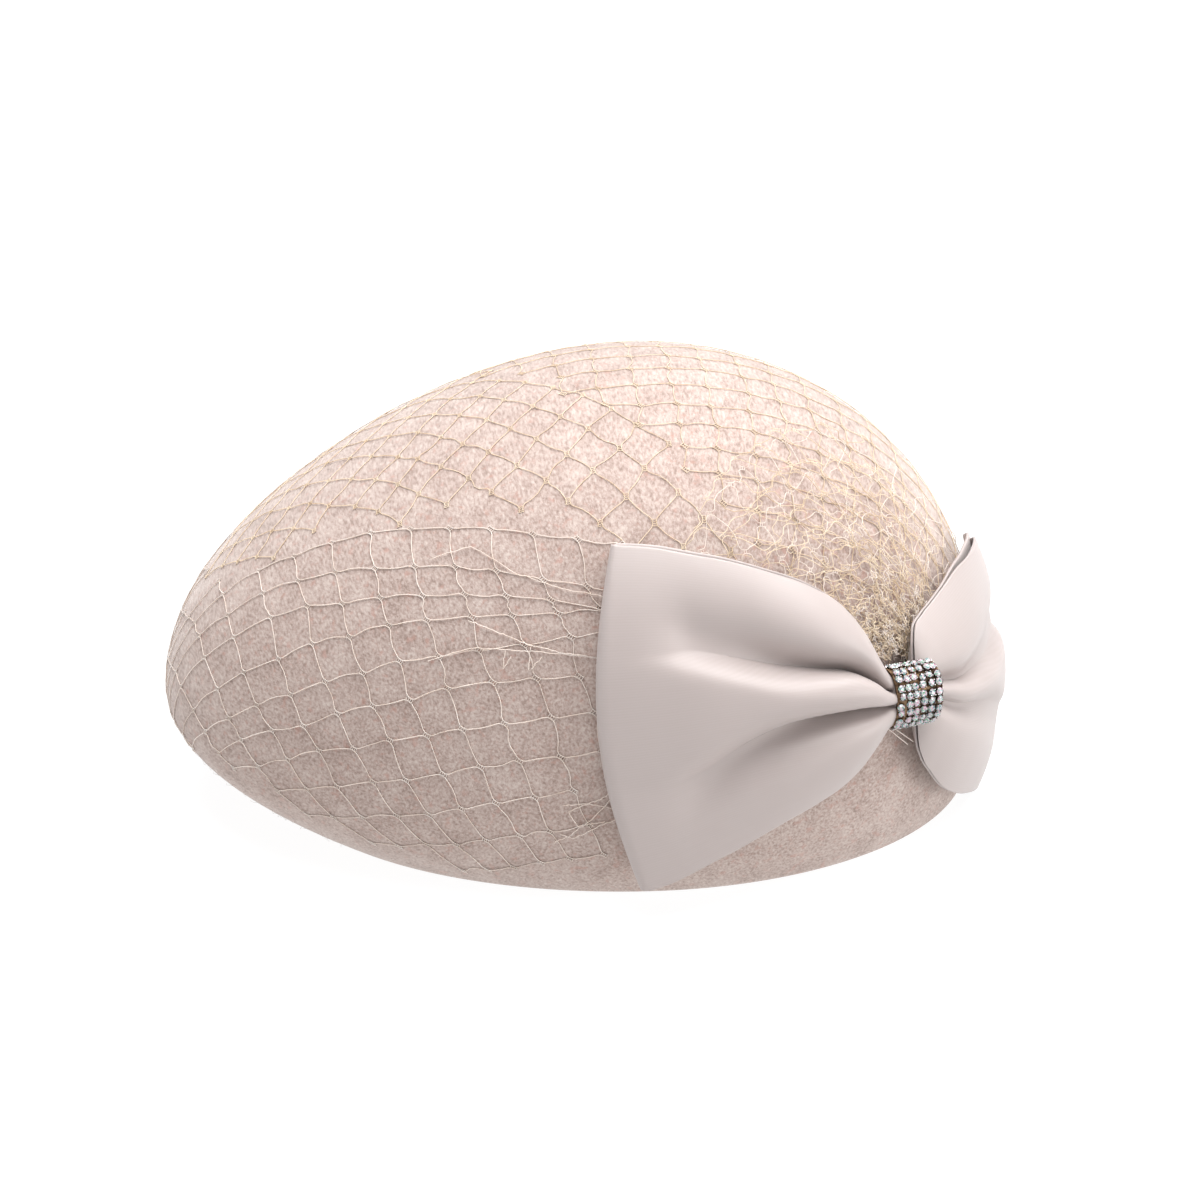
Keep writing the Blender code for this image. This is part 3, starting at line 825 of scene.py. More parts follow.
RIGHT_SECTIONS = (
    Section(3, 61, 51, 9.4, 7.6, 7.6, 6.8, 6.8, 1.0, 1.0, 0.13, -0.06),
    Section(6, 69, 41, 10.6, 6.8, 6.8, 6.0, 6.0, 2.0, 1.8, 0.13, -0.06),
    Section(9, 73, 35.5, 11.4, 6.0, 6.6, 5.0, 5.8, 3.8, 3.0, 0.13, -0.06),
    Section(14, 75, 29.5, 11.8, 5.6, 6.2, 4.4, 5.4, 5.4, 4.2, 0.13, -0.07),
    Section(21, 76.5, 22, 11.8, 5.4, 5.8, 4.2, 5.0, 5.6, 4.2, 0.13, -0.08),
    Section(30, 78, 15.5, 11.2, 5.6, 5.2, 4.2, 4.4, 5.6, 3.6, 0.14, -0.10),
    Section(41, 79, 10, 10.4, 6.0, 4.4, 4.4, 3.5, 5.2, 2.8, 0.17, -0.16),
    Section(53, 78, 5, 9.4, 6.6, 3.4, 5.0, 2.4, 4.8, 2.0, 0.21, -0.26),
    Section(65, 77, 2, 8.8, 7.0, 2.6, 5.5, 1.3, 4.4, 1.2, 0.25, -0.38),
    Section(76, 74.5, 1, 8.2, 6.4, 2.6, 5.0, 1.2, 3.0, 0.6, 0.27, -0.43),
    Section(86, 70, 1, 7.0, 5.0, 2.8, 3.6, 1.2, 2.0, 0.2, 0.28, -0.44),
)


class Side(Enum):
    """Which way a loop runs from the bow's centre."""

    LEFT = -1
    RIGHT = 1


@dataclass
class BowLoop:
    """One loop of the bow: a ribbon folded back on itself, with two soft pleats near the middle."""

    form: CrownForm
    side: Side
    sections: tuple[Section, ...]
    azimuth: float = math.radians(42)
    climb: float = 56 * MM
    tilt: float = math.radians(14)
    radius: float = 98 * MM
    end_lean: float = 0.12
    tilt_fade: float = 60 * MM
    upper_tilt: float = 1.0
    panel_width: tuple[float, float] = (0.055, 0.09)
    lobe_width: tuple[float, float] = (0.15, 0.24)
    steepness: float = 4.5
    softness: float = 3.2
    lip: float = 0.05
    lining_middle: float = 1.5 * MM
    inner_rise: tuple[float, float, float] = (1.6 * MM, 10 * MM, 30 * MM)
    ribbon: float = 0.7 * MM
    cut_area: float = 0.0146
    columns: int = 150
    rows: int = 200
    fold_share: float = 0.04

    def row(self, along: Array) -> dict[str, Array]:
        """The sections' columns at distances along the loop, on smooth curves through the table."""
        stations = np.array([s.along for s in self.sections]) * MM
        values: dict[str, Array] = {}
        for name in Section.__dataclass_fields__:
            column = np.array([getattr(s, name) for s in self.sections], float)
            values[name] = self.smooth_read(stations, column, along)
        return values

    @staticmethod
    def smooth_read(stations: Array, column: Array, along: Array) -> Array:
        """A cubic curve through a table's column, with the slopes of its neighbours."""
        slopes = np.gradient(column, stations)
        index = np.clip(np.searchsorted(stations, along) - 1, 0, len(stations) - 2)
        low, high = stations[index], stations[index + 1]
        gap = high - low
        t = np.clip((along - low) / gap, 0, 1)
        return ((2 * t ** 3 - 3 * t ** 2 + 1) * column[index] + (t ** 3 - 2 * t ** 2 + t) * gap * slopes[index]
                + (3 * t ** 2 - 2 * t ** 3) * column[index + 1] + (t ** 3 - t ** 2) * gap * slopes[index + 1])

    def valley(self, inward: Array, along: Array) -> Array:
        """The share of a pleat's depth around its bottom: steep toward the panel, slower toward the lobe.

        Args:
            inward: Distances from its bottom toward the panel, as shares of the half height.
            along: Distances along the loop.

        Returns:
            The shares.
        """
        growth = smooth_step(20 * MM, 52 * MM, along)
        panel = self.panel_width[0] + (self.panel_width[1] - self.panel_width[0]) * growth
        lobe = self.lobe_width[0] + (self.lobe_width[1] - self.lobe_width[0]) * growth
        toward_panel = 1 / (1 + np.abs(inward / panel) ** self.steepness)
        return np.where(inward > 0, toward_panel, 1 / (1 + np.abs(inward / lobe) ** self.softness))

    def stand_offs(self, along: Array, across: Array) -> tuple[Array, Array]:
        """The outer and inner layers' stand-offs."""
        row = self.row(along)
        crown, upper = 1 - across ** 2, (across + 1) / 2
        edge = row["low_edge"] + (row["high_edge"] - row["low_edge"]) * upper
        lining = (row["low_lining"] + (row["high_lining"] - row["low_lining"]) * upper) * MM
        pleats = (row["high_depth"] * self.valley(row["high"] - across, along)
                  + row["low_depth"] * self.valley(across - row["low"], along))
        front = (edge + (row["crest"] - edge) * crown - pleats) * MM
        back = lining + (self.lining_middle - lining) * crown
        return front, back

    def overhang(self, row: dict[str, Array], across: Array) -> Array:
        """How far the panel's edges lean over the pleats beside it, as a share of the half height."""
        high = np.exp(-((across - row["high"] + self.lip) / self.lip) ** 2) * row["high_depth"]
        low = np.exp(-((across - row["low"] - self.lip) / self.lip) ** 2) * row["low_depth"]
        return self.lip * (high - low) / 7

    def points(self, along: Array, across: Array, turn: Array) -> Array:
        """Points of the ribbon.

        Args:
            along: Distances from the bow's centre.
            across: From -1 at the lower border to 1 at the upper one.
            turn: 0 on the outer layer, 1 on the inner one, and between them around the end fold.

        Returns:
            The points in the frame's axes.
        """
        row = self.row(along)
        leaned = across + self.overhang(row, across) * (turn < 0.5)
        climb = (row["bottom"] + (row["top"] - row["bottom"]) * (leaned + 1) / 2) * MM
        amount, rise_from, rise_to = self.inner_rise
        climb = climb + amount * turn * smooth_step(0.3, 1, across) * smooth_step(rise_from, rise_to, along)
        end = self.sections[-1].along * MM
        lean = 1 - self.end_lean * ((1 - across) / 2) ** 2 * along / end
        rise = np.where(climb > self.climb, self.upper_tilt, 1) * (climb - self.climb)
        tilt = self.side.value * math.tan(self.tilt) * rise * np.maximum(1 - along / self.tilt_fade, 0)
        front, back = self.stand_offs(along, across)
        half = (front - back) / 2
        around = math.pi * turn
        stand_off = (front + back) / 2 + half * np.cos(around)
        reach = along * lean + tilt + half * np.sin(around) * (turn > 0) * (turn < 1)
        azimuth = self.azimuth + self.side.value * reach / self.radius
        return self.form.off_wall(azimuth, climb, stand_off, plumb=True)

    def build(self, material: bpy.types.Material) -> bpy.types.Object:
        """Shape the loop from a grid, and give it the ribbon's thickness."""
        bm = bmesh.new()
        uv = bm.loops.layers.uv.new("ribbon")
        bmesh.ops.create_grid(bm, x_segments=self.rows, y_segments=self.columns, size=1.0)
        verts = list(bm.verts)
        grid = np.array([v.co for v in verts])
        share, across = (grid[:, 0] + 1) / 2, grid[:, 1]
        start, end = self.sections[0].along * MM, self.sections[-1].along * MM
        half_fold = self.fold_share / 2
        along = np.where(share < 0.5, share / (0.5 - half_fold), (1 - share) / (0.5 - half_fold))
        along = start + (end - start) * np.clip(along, 0, 1)
        turn = np.clip((share - 0.5 + half_fold) / self.fold_share, 0, 1)
        placed = self.points(along, across, turn)
        height = (self.sections[-1].top - self.sections[-1].bottom) * MM
        length = end - start
        flat = {v: (s * 2 * length, a * height / 2) for v, s, a in zip(verts, share, across)}
        for face in bm.faces:
            for loop in face.loops:
                loop[uv].uv = flat[loop.vert]
        for vert, point in zip(verts, placed):
            vert.co = point
        if self.side is Side.RIGHT:
            bmesh.ops.reverse_faces(bm, faces=bm.faces)
        bm.normal_update()
        obj = from_bmesh(bm, f"ribbon_loop_{self.side.name.lower()}", material)
        wall = obj.modifiers.new("ribbon_thickness", "SOLIDIFY")
        wall.thickness = self.ribbon
        wall.offset = 0.0
        return obj


@dataclass
class BowCentre:
    """The bow's own axes at its centre: along the ribbon, up across it and out from the wall."""

    form: CrownForm
    azimuth: float = math.radians(41.8)
    climb: float = 56.8 * MM
    turn: float = math.radians(-14)
    tilt: float = math.radians(4)
    stand_off: float = 7.7 * MM

    def __post_init__(self) -> None:
        """Work out the axes."""
        azimuth, climb = np.array([self.azimuth]), np.array([self.climb])
        self.centre = Vector(self.form.off_wall(azimuth, climb, np.array([self.stand_off]), plumb=True)[0])
        self.out = Vector(self.form.wall_normal(azimuth, climb, plumb=True)[0])
        self.out.rotate(Quaternion((0, 0, 1), self.turn))
        level_along = Vector((0, 0, 1)).cross(self.out).normalized()
        level_up = self.out.cross(level_along)
        self.along = level_along * math.cos(self.tilt) - level_up * math.sin(self.tilt)
        self.up = self.out.cross(self.along)

    def place(self, along: float, up: float, out: float) -> Vector:
        """The point at these distances from the bow's centre."""
        return self.centre + self.along * along + self.up * up + self.out * out


@dataclass
class PinchedMiddle:
    """The ribbon gathered under the band, its fine pleats running through."""

    centre: BowCentre
    half_length: float = 7.5 * MM
    half_height: float = 7.0 * MM
    half_depth: float = 4.2 * MM
    pleats: int = 15
    pleat_depth: float = 0.12

    def build(self, material: bpy.types.Material) -> bpy.types.Object:
        """Shape the gathered ribbon from a cylinder."""
        bm = bmesh.new()
        uv = bm.loops.layers.uv.new("ribbon")
        bmesh.ops.create_cone(bm, cap_ends=True, cap_tris=False, segments=self.pleats * 10, radius1=1.0,
                              radius2=1.0, depth=2.0)
        sides = [e for e in bm.edges if abs(e.verts[0].co.z - e.verts[1].co.z) > 1]
        bmesh.ops.subdivide_edges(bm, edges=sides, cuts=14)
        for face in bm.faces:
            for loop in face.loops:
                spot = loop.vert.co
                loop[uv].uv = (spot.z * self.half_length, math.atan2(spot.x, spot.y) * self.half_height)
        for vert in bm.verts:
            angle = math.atan2(vert.co.x, vert.co.y)
            fold = 1 - self.pleat_depth * (0.5 + 0.5 * math.cos(self.pleats * angle + 0.8 * math.sin(2 * angle)))
            vert.co = self.centre.place(vert.co.z * self.half_length, vert.co.x * self.half_height * fold,
                                        vert.co.y * self.half_depth * fold)
        bmesh.ops.recalc_face_normals(bm, faces=bm.faces)
        return from_bmesh(bm, "ribbon_middle", material)


@dataclass
class CrystalBand:
    """Rows of round stones in small cups on a strap of fine mesh, closed around the bow's middle."""

    centre: BowCentre
    half_height: float = 8.5 * MM
    half_depth: float = 5.5 * MM
    strap: float = 0.9 * MM
    pitch: float = 2.55 * MM
    row_pitch: float = 2.4 * MM
    columns: int = 6
    rows: int = 14
    stone_radius: float = 1.16 * MM
    stone_rise: float = 1.2 * MM
    cup_radius: float = 1.24 * MM
    cup_height: float = 0.65 * MM
    unevenness: float = 0.16 * MM
    lean: float = 0.16
    seed: int = 9

    def rim(self, angle: float, inset: float = 0.0) -> tuple[float, float]:
        """How far up and out the strap's outer face lies at an angle from its outward side."""
        return (self.half_height - inset) * math.sin(angle), (self.half_depth - inset) * math.cos(angle)

    def row_angles(self) -> list[float]:
        """The angles of the rows of stones, a pitch apart along the strap."""
        fine = np.linspace(-math.pi, math.pi, 2881)
        up, out = self.half_height * np.sin(fine), self.half_depth * np.cos(fine)
        run = np.concatenate([[0], np.cumsum(np.hypot(np.diff(up), np.diff(out)))])
        middle = run[len(fine) // 2]
        spots = middle + self.row_pitch * (np.arange(self.rows) - (self.rows - 1) / 2)
        return list(np.interp(spots, run, fine))

    def spots(self) -> list[tuple[Vector, Vector, Vector]]:
        """Each stone's foot on the strap, its outward axis and a direction across it."""
        found = []
        rng = np.random.default_rng(self.seed)
        for angle in self.row_angles():
            up, out = self.rim(angle)
            normal = (self.centre.up * (math.sin(angle) / self.half_height)
                      + self.centre.out * (math.cos(angle) / self.half_depth)).normalized()
            for column in range(self.columns):
                along = (column - (self.columns - 1) / 2) * self.pitch
                shift, rise = rng.normal(0, self.unevenness, 2)
                axis = (normal + Vector(rng.normal(0, self.lean, 3))).normalized()
                foot = self.centre.place(along + shift, up, out) + self.centre.up * (rise * math.cos(angle))
                found.append((foot, axis, self.centre.along.cross(axis).cross(axis).normalized() * -1))
        return found

    def build_strap(self, material: bpy.types.Material) -> bpy.types.Object:
        """The mesh strap: a closed band with a raised edge of twisted wire."""
        bm = bmesh.new()
        half = self.columns * self.pitch / 2
        bmesh.ops.create_cone(bm, cap_ends=False, segments=96, radius1=1.0, radius2=1.0, depth=2.0)
        for vert in bm.verts:
            angle = math.atan2(vert.co.x, vert.co.y)
            up, out = self.rim(angle)
            vert.co = self.centre.place(vert.co.z * half, up, out)
        bmesh.ops.recalc_face_normals(bm, faces=bm.faces)
        bm.normal_update()
        bmesh.ops.solidify(bm, geom=list(bm.faces), thickness=self.strap)
        bmesh.ops.recalc_face_normals(bm, faces=bm.faces)
        strap = from_bmesh(bm, "band_mesh", material)
        edges = []
        for end in (-1, 1):
            for strand in (0, 1):
                path = []
                for number in range(241):
                    angle = 2 * math.pi * number / 240
                    wind = 2 * math.pi * 26 * number / 240 + math.pi * strand
                    up, out = self.rim(angle, -0.14 * MM * math.cos(wind))
                    path.append(self.centre.place(end * half + 0.14 * MM * math.sin(wind), up, out))
                edges.append(np.array([tuple(p) for p in path]))
        join(strap, threads("band_edge", edges, 0.26 * MM, material))
        return strap

    def build_cups(self, material: bpy.types.Material) -> bpy.types.Object:
        """A small open cup with four claws for each stone."""
        bm = bmesh.new()
        for foot, normal, across in self.spots():
            before = set(bm.verts)
            bmesh.ops.create_cone(bm, cap_ends=True, segments=12, radius1=self.cup_radius * 0.72,
                                  radius2=self.cup_radius, depth=self.cup_height)
            top = [f for f in bm.faces if f.verts[0] not in before and len(f.verts) == 12
                   and f.calc_center_median().z > 0]
            inner = bmesh.ops.inset_individual(bm, faces=top, thickness=self.cup_radius * 0.16)
            bmesh.ops.translate(bm, vec=(0, 0, -self.cup_height * 0.7), verts=list(top[0].verts))
            for turn in range(4):
                angle = math.pi / 4 + turn * math.pi / 2
                claw = bmesh.ops.create_cone(bm, cap_ends=True, segments=5, radius1=0.26 * MM, radius2=0.14 * MM,
                                             depth=0.6 * MM)["verts"]
                bmesh.ops.translate(bm, verts=claw, vec=(math.cos(angle) * self.cup_radius * 0.9,
                                                         math.sin(angle) * self.cup_radius * 0.9,
                                                         self.cup_height * 0.72))
            self.seat([v for v in bm.verts if v not in before], foot, normal, across, self.cup_height / 2)
        bm.normal_update()
        return from_bmesh(bm, "stone_cups", material, smooth=False)

    def build_stones(self, material: bpy.types.Material, shadow: bpy.types.Material) -> bpy.types.Object:
        """A round brilliant for each cup: a crown, and a table whose face gets a painted dark reflection of the point
        below.
        """
        bm = bmesh.new()
        for foot, normal, across in self.spots():
            before = set(bm.verts)
            bmesh.ops.create_cone(bm, cap_ends=True, segments=8, radius1=self.stone_radius,
                                  radius2=self.stone_radius * 0.56, depth=self.stone_rise * 0.45)
            fresh = [v for v in bm.verts if v not in before]
            under = [f for f in bm.faces if len(f.verts) == 8 and f.verts[0] in fresh and f.calc_center_median().z < 0]
            table = [f for f in bm.faces if len(f.verts) == 8 and f.verts[0] in fresh and f.calc_center_median().z > 0]
            poked = bmesh.ops.poke(bm, faces=under)
            bmesh.ops.translate(bm, verts=poked["verts"], vec=(0, 0, -self.stone_rise * 0.7))
            bmesh.ops.inset_individual(bm, faces=table, thickness=self.stone_radius * 0.2, depth=-self.stone_rise * 0.12)
            # The table face takes the second material, a painted dark reflection.
            table[0].material_index = 1
            self.seat([v for v in bm.verts if v not in before], foot, normal, across,
                      self.cup_height + self.stone_rise * 0.2)
        bmesh.ops.recalc_face_normals(bm, faces=bm.faces)
        stones = from_bmesh(bm, "crystal_stones", material, smooth=False)
        stones.data.materials.append(shadow)
        return stones

    @staticmethod
    def seat(verts: list[bmesh.types.BMVert], foot: Vector, normal: Vector, across: Vector, rise: float) -> None:
        """Turn points made about the origin to a spot on the strap."""
        beside = normal.cross(across)
        for vert in verts:
            spot = vert.co.copy()
            vert.co = foot + across * spot.x + beside * spot.y + normal * (spot.z + rise)


# The veil's layers


LOOSE_RUNS = (
    ((94, -52), (99, -43), (103, -36), (106, -27.5), (109, -15)),
    ((103.5, -65), (102, -52), (104, -42), (105.5, -32.5), (109, -15)),
    ((104, -42), (109.5, -43), (106, -40.5)),
    ((104, -35), (111, -36), (107, -32)),
    ((141, -16), (149, -18), (151, -24), (151, -32)),
    ((154, -14), (151, -24), (153, -31), (158, -29), (157, -20)),
    ((160, -35.5), (162, -31.5), (159.5, -25), (156, -15)),
    ((147, -14), (155.5, -23), (161, -33), (163, -39)),
    ((71.5, -63), (70.5, -51), (82, -38), (88, -26), (92, -12)),
)


@dataclass
class Veil:
    """The net veil: a front panel, one over the top of the nose, one over the back, and gathers at the bow."""

    form: CrownForm
    bow: BowLoop
    hem: float = 5 * MM
    overlap: float = 7 * MM

    def lower_edge(self, azimuth: Array, left: BowLoop, right: BowLoop, under: float = 14 * MM) -> Array:
        """How low the net reaches: the hem, or under the top border of the bow."""
        reach = (azimuth - self.bow.azimuth) * self.bow.radius
        edge = np.full_like(azimuth, self.hem)
        for loop, sign in ((left, -1), (right, 1)):
            run = reach * sign
            inside = (run >= 0) & (run <= loop.sections[-1].along * MM - 2 * MM)
            top = loop.row(np.clip(run, loop.sections[0].along * MM, None))["top"] * MM
            edge = np.where(inside, top - under, edge)
        return edge

    def full_place(self, along: Array, across: Array) -> Array:
        """Where the whole layer's nodes lie on the flat cloth."""
        y = (-70.4 + 11.2 * along - 10 * (np.exp(-0.2 * np.maximum(along, -9)) - 1) + 2.2 * across) * MM
        pull = np.where(y < -60 * MM, (y + 60 * MM) / (150 * MM), (y + 60 * MM) / (330 * MM))
        narrow = np.sqrt(np.maximum(1 - pull ** 2, 0.06))
        lean = 4.2 * np.clip(along, -6, 8) * smooth_step(-2.0, -5.0, across) * smooth_step(-16.0, -9.0, across)
        wider = 0.32 * np.minimum(across + 5, 0)
        x = (124.9 + 11.4 * (across + wider) + lean) * MM * narrow
        return np.stack([x, y], axis=-1)

    def crest_place(self, along: Array, across: Array) -> Array:
        """Where the nodes over the top of the nose lie: their threads run at a slant to the front's."""
        x = 24.8 + 9.0 * along + 9.3 * across
        y = -68.2 + 7.7 * along - 6.7 * across
        return np.stack([x, y], axis=-1) * MM

    def back_place(self, along: Array, across: Array) -> Array:
        """Where the back's nodes lie: its rows run over the crown from side to side."""
        x = 22.0 + 10.9 * across - 0.25 * np.clip(across, -9, 3) ** 2 * np.sign(across + 20)
        y = -1.9 + 10.8 * along
        return np.stack([x, y], axis=-1) * MM

    @staticmethod
    def front_edge(flat: Array) -> Array:
        """How far from the middle line the front panel begins at each flat point."""
        y_marks = np.array([-190, -160, -146, -131, -93, -80, -60, -43, -26, -7.5, 0, 8]) * MM
        x_marks = np.array([-60, -20, 8, 30, 34, 46, 49, 53, 59, 71, 95, 240]) * MM
        return np.interp(flat[..., 1], y_marks, x_marks)

    @staticmethod
    def back_edge(flat: Array) -> Array:
        """How far back the back panel begins at each flat point."""
        x_marks = np.array([-120, -40, -20, -4, 14.6, 31, 53, 63.5, 80, 120]) * MM
        y_marks = np.array([-60, -52, -45, -33, -22.5, -8, 7, 14, 28, 60]) * MM
        return np.interp(flat[..., 0], x_marks, y_marks)

    def full_cover(self, left: BowLoop, right: BowLoop) -> Cover:
        """What the veil covers as a whole: the crown above its hem and above the bow's upper border."""
        y_marks = np.array([-190, -170, -153, -121, -99, -80, -60, -19, 20, 60, 160]) * MM
        x_marks = np.array([52, 78, 110, 147, 169, 176, 173, 169, 168, 178, 178]) * MM

        def covers(flat: Array) -> Array:
            azimuth, climb = self.form.climb_of(flat)
            within = np.abs(flat[..., 0]) < np.interp(flat[..., 1], y_marks, x_marks)
            return within & (climb > self.lower_edge(azimuth, left, right))
        return covers

    def panels(self, whole: Cover, pale: bpy.types.Material, tan: bpy.types.Material) -> bpy.types.Object:
        """The veil's three panels, which meet with a cell's overlap: front, crest and back.

        Args:
            whole: What the veil covers as a whole.
            pale: The front panel's thread.
            tan: The thread of the other two.

        Returns:
            The panels as one piece.
        """
        lap = self.overlap

        def front(flat: Array) -> Array:
            return whole(flat) & (np.abs(flat[..., 0]) > self.front_edge(flat)) & (
                flat[..., 1] < self.back_edge(flat) + lap)

        def crest(flat: Array) -> Array:
            return whole(flat) & (np.abs(flat[..., 0]) < self.front_edge(flat) + lap) & (
                flat[..., 1] < self.back_edge(flat) + lap)

        def back(flat: Array) -> Array:
            return whole(flat) & (flat[..., 1] > self.back_edge(flat))

        fine = {"thread": 0.27 * MM, "stand_off": (0.2 * MM, 0.4 * MM)}
        veil = NetLayer("veil_panels", self.form, self.full_place, front, range(-14, 22), range(-28, 7),
                        seed=3).build(pale)
        veil.data.materials.append(tan)
        for name, place, cover, seed in (("veil_crest", self.crest_place, crest, 4),
                                         ("veil_back", self.back_place, back, 6)):
            layer = NetLayer(name, self.form, place, cover, range(-24, 26), range(-24, 26), seed=seed, **fine)
            join(veil, layer.build(tan), material_index=1)
        return veil

    def gather_place(self, spread: float, growth: float, twist: float, start: float) -> Mapping:
        """A mapping that fans a net out from the bow's centre, its cells crushed near it.

        Args:
            spread: The angle between threads.
            growth: How much wider each row lies than the one before.
            twist: The angle that each row turns by.
            start: The first row's distance from the centre.

        Returns:
            The mapping, from nodes to the flat cloth.
        """
        centre_az = np.array([self.bow.azimuth])
        run = self.form.dome_length(centre_az) + self.form.widest - self.bow.climb
        centre = np.array([run[0] * math.cos(self.bow.azimuth), run[0] * math.sin(self.bow.azimuth)])
        toward_top = math.atan2(-centre[1], -centre[0])

        def place(along: Array, across: Array) -> Array:
            angle = toward_top + spread * along + twist * across
            reach = start * growth ** across
            return centre + np.stack([np.cos(angle) * reach, np.sin(angle) * reach], axis=-1)
        return place

    def loose_threads(self, material: bpy.types.Material) -> bpy.types.Object:
        """Threads pulled out of line at the bow's left end, and two stitched under the band."""
        rng = np.random.default_rng(21)
        paths = []
        for run in LOOSE_RUNS:
            marks = np.array(run, float) * MM
            spots = np.linspace(0, len(marks) - 1, 9 * (len(marks) - 1) + 1)
            flat = np.stack([np.interp(spots, range(len(marks)), marks[:, axis]) for axis in (0, 1)], axis=-1)
            flat[1:-1] = (flat[:-2] + 2 * flat[1:-1] + flat[2:]) / 4 + rng.normal(0, 0.12 * MM, flat[1:-1].shape)
            paths.append(self.form.drape(flat, np.full(len(flat), 0.7 * MM)))
        centre = BowCentre(self.form)
        for start, end in (((-7, -9, -3), (2, -16.5, -4.5)), ((-6, -8.5, -3), (4, -16, -4.5))):
            shares = np.linspace(0, 1, 8)[:, None]
            run = (1 - shares) * np.array(start) + shares * np.array(end)
            paths.append(np.array([centre.place(*(row * MM)) for row in run]))
        return threads("veil_loose_threads", paths, 0.3 * MM, material)

    def build(self, left: BowLoop, right: BowLoop, pale: bpy.types.Material,
              tan: bpy.types.Material) -> list[bpy.types.Object]:
        """Lay every layer.

        Args:
            left: The left loop, whose border the net goes under.
            right: The right loop.
            pale: The whole layer's material.
            tan: The second layer's material.

        Returns:
            The pieces.
        """
        cover = self.full_cover(left, right)
        pieces = [self.panels(cover, pale, tan)]
        settings = ((0.11, 1.17, 0.06, 13, 11), (0.13, 1.19, -0.08, 12, 12), (0.16, 1.17, 0.1, 15, 13))
        for number, (spread, growth, twist, start, seed) in enumerate(settings):
            place = self.gather_place(spread, growth, twist, start * MM)

            def near(flat: Array, place: Mapping = place) -> Array:
                azimuth, climb = self.form.climb_of(flat)
                return cover(flat) & (climb > 52 * MM)

            layer = NetLayer(f"veil_gather_{number}", self.form, place, near, range(-11, 12), range(0, 13 - number),
                             jitter=1.3 * MM, sag=1.0 * MM, stand_off=(0.4 * MM, 3.2 * MM), bars=2,
                             thread=0.24 * MM, bar=0.18 * MM, seed=seed)
            pieces.append(layer.build(pale if number == 1 else tan))
        pieces.append(self.loose_threads(pale))
        return pieces


# The studio


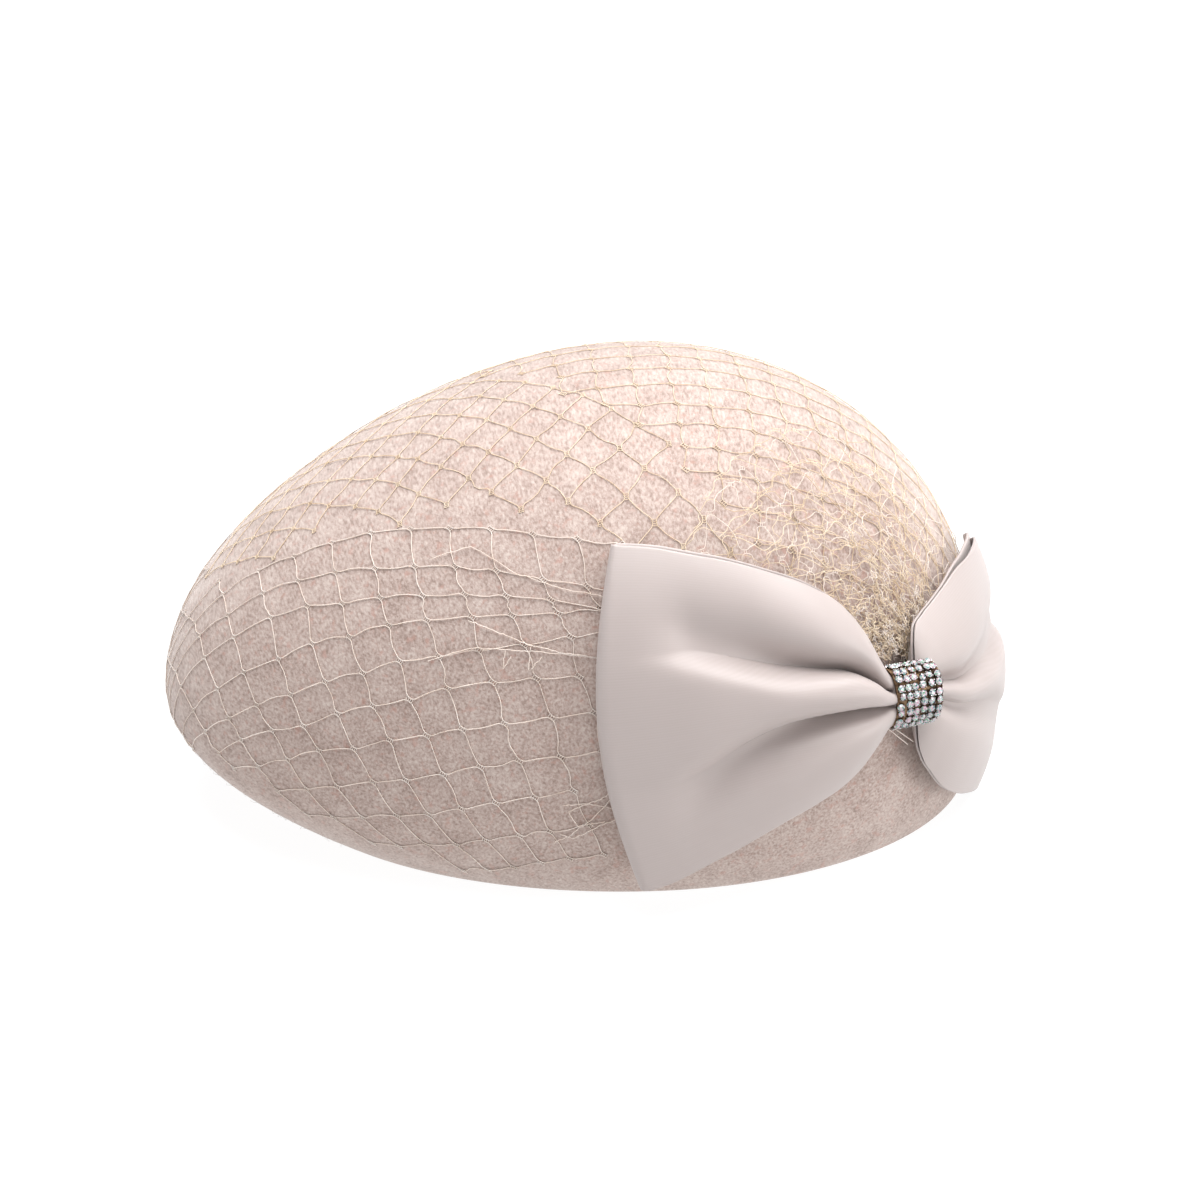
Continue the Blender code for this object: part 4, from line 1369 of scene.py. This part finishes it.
@dataclass
class Studio:
    """A pale floor, a wide soft light above and behind, and a camera at the photograph's angle."""

    form: CrownForm
    elevation: float = math.radians(27)
    azimuth: float = math.radians(85)
    distance: float = 1.3
    pixel: float = 0.31 * MM
    image: int = 1200
    origin_pixel: tuple[float, float] = (639.4, 764.8)

    def build(self) -> None:
        """Set the floor, lights and camera."""
        self.floor()
        self.lights()
        self.camera()

    def floor(self) -> None:
        """A wide pale floor."""
        bm = bmesh.new()
        bmesh.ops.create_grid(bm, x_segments=1, y_segments=1, size=4.0)
        f = Finish("floor_acrylic_backlit", Roughness=0.9, Specular_IOR_Level=0.1, Base_Color=linear("6A6A6A"),
                   Emission_Color=linear("FFFFFF"), Emission_Strength=0.92)
        floor = from_bmesh(bm, "studio_floor", f.material)

    def lights(self) -> None:
        """One large soft light from above, toward the back of the hat, and a pale sky."""
        world = bpy.data.worlds.new("studio_sky")
        bpy.context.scene.world = world
        world.use_nodes = True
        back = world.node_tree.nodes["Background"]
        back.inputs["Color"].default_value = linear("F6F7FA")
        back.inputs["Strength"].default_value = 0.44
        self.area("softbox", Vector((-0.15, 0.25, 1.45)), 1.8, 55)
        self.area("fill_back", Vector((0.75, 1.5, 0.3)), 1.0, 15)
        self.area("fill_nose", Vector((1.1, -1.3, 0.5)), 1.0, 4)

    @staticmethod
    def area(name: str, place: Vector, size: float, power: float) -> None:
        """Add an area light that faces the hat."""
        light = bpy.data.lights.new(name, "AREA")
        light.shape = "SQUARE"
        light.size = size
        light.energy = power
        obj = bpy.data.objects.new(name, light)
        obj.location = place
        obj.rotation_euler = (place - Vector((0, 0, 0.06))).to_track_quat("Z", "Y").to_euler()
        bpy.context.collection.objects.link(obj)

    def camera(self) -> None:
        """A camera aimed at the crown's own origin and shifted to the photograph's framing."""
        back = Vector((math.sin(self.azimuth) * math.cos(self.elevation),
                       -math.cos(self.azimuth) * math.cos(self.elevation), math.sin(self.elevation)))
        data = bpy.data.cameras.new("camera")
        data.sensor_width = 36.0
        data.lens = 36.0 * self.distance / (self.pixel * self.image)
        data.shift_x = -(self.origin_pixel[0] / self.image - 0.5)
        data.shift_y = self.origin_pixel[1] / self.image - 0.5
        data.clip_start, data.clip_end = 0.05, 30.0
        obj = bpy.data.objects.new("camera", data)
        obj.location = Vector(self.form.shift) + back * self.distance
        obj.rotation_euler = back.to_track_quat("Z", "Y").to_euler()
        bpy.context.collection.objects.link(obj)
        bpy.context.scene.camera = obj


def crown_shift() -> Array:
    """Where the crown's own origin lies in the frame, read from the felt's box."""
    low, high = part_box("felt_crown")
    return np.array([(low[0] + high[0]) / 2, high[1] - BACK_REACH, 0.0])


def dress(obj: bpy.types.Object, slot: Slot, *nodes: str) -> None:
    """Ride a piece on the hat, hide the parts that it stands for and log its faces."""
    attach(obj, ROOT)
    if nodes:
        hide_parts(*nodes)
    report(obj)


def main() -> None:
    """Build the hat's pieces in order, then the studio."""
    form = CrownForm(shift=crown_shift())
    Studio(form).build()
    felt = WoolFelt().build()
    pale = VeilThread("net_thread_pale").build()
    tan = VeilThread("net_thread_tan", "DBC6AC", "C4AC90").build()
    satin = SatinRibbon().build()
    dress(FeltShell(form).build(felt), Slot.FELT, "felt_crown")
    dress(LooseFibres(form).build(felt), Slot.FELT)
    left = BowLoop(form, Side.LEFT, LEFT_SECTIONS)
    right = BowLoop(form, Side.RIGHT, RIGHT_SECTIONS, inner_rise=(2 * MM, 30 * MM, 60 * MM), upper_tilt=0.0,
                    cut_area=0.0122)
    veil = Veil(form, left).build(left, right, pale, tan)
    dress(veil[0], Slot.NET, "veil_net")
    for piece in veil[1:]:
        dress(piece, Slot.NET)
    for loop in (left, right):
        piece = loop.build(satin)
        dress(piece, Slot.SATIN, f"bow_loop_{loop.side.name.lower()}")
    centre = BowCentre(form)
    dress(PinchedMiddle(centre).build(satin), Slot.SATIN, "bow_middle")
    band = CrystalBand(centre)
    dress(band.build_strap(Plated("mesh_plated_gold", "A08468", "5A4536", 0.45).build()), Slot.CRYSTAL, "crystal_band")
    dress(band.build_cups(Plated("cups_plated_silver", "CCCAC8", "8E8882", 0.25).build()), Slot.CRYSTAL)
    # The stones' tables get a painted dark reflection of the point below.
    shadow = CutCrystal("crystal_table_painted_dark_reflection", ((0.35, "343A42"), (0.5, "7C8C94"), (0.65, "463C4A"))).build()
    dress(band.build_stones(CutCrystal().build(), shadow), Slot.CRYSTAL)
    bpy.context.scene.view_settings.view_transform = "Standard"


if __name__ == "__main__":
    main()
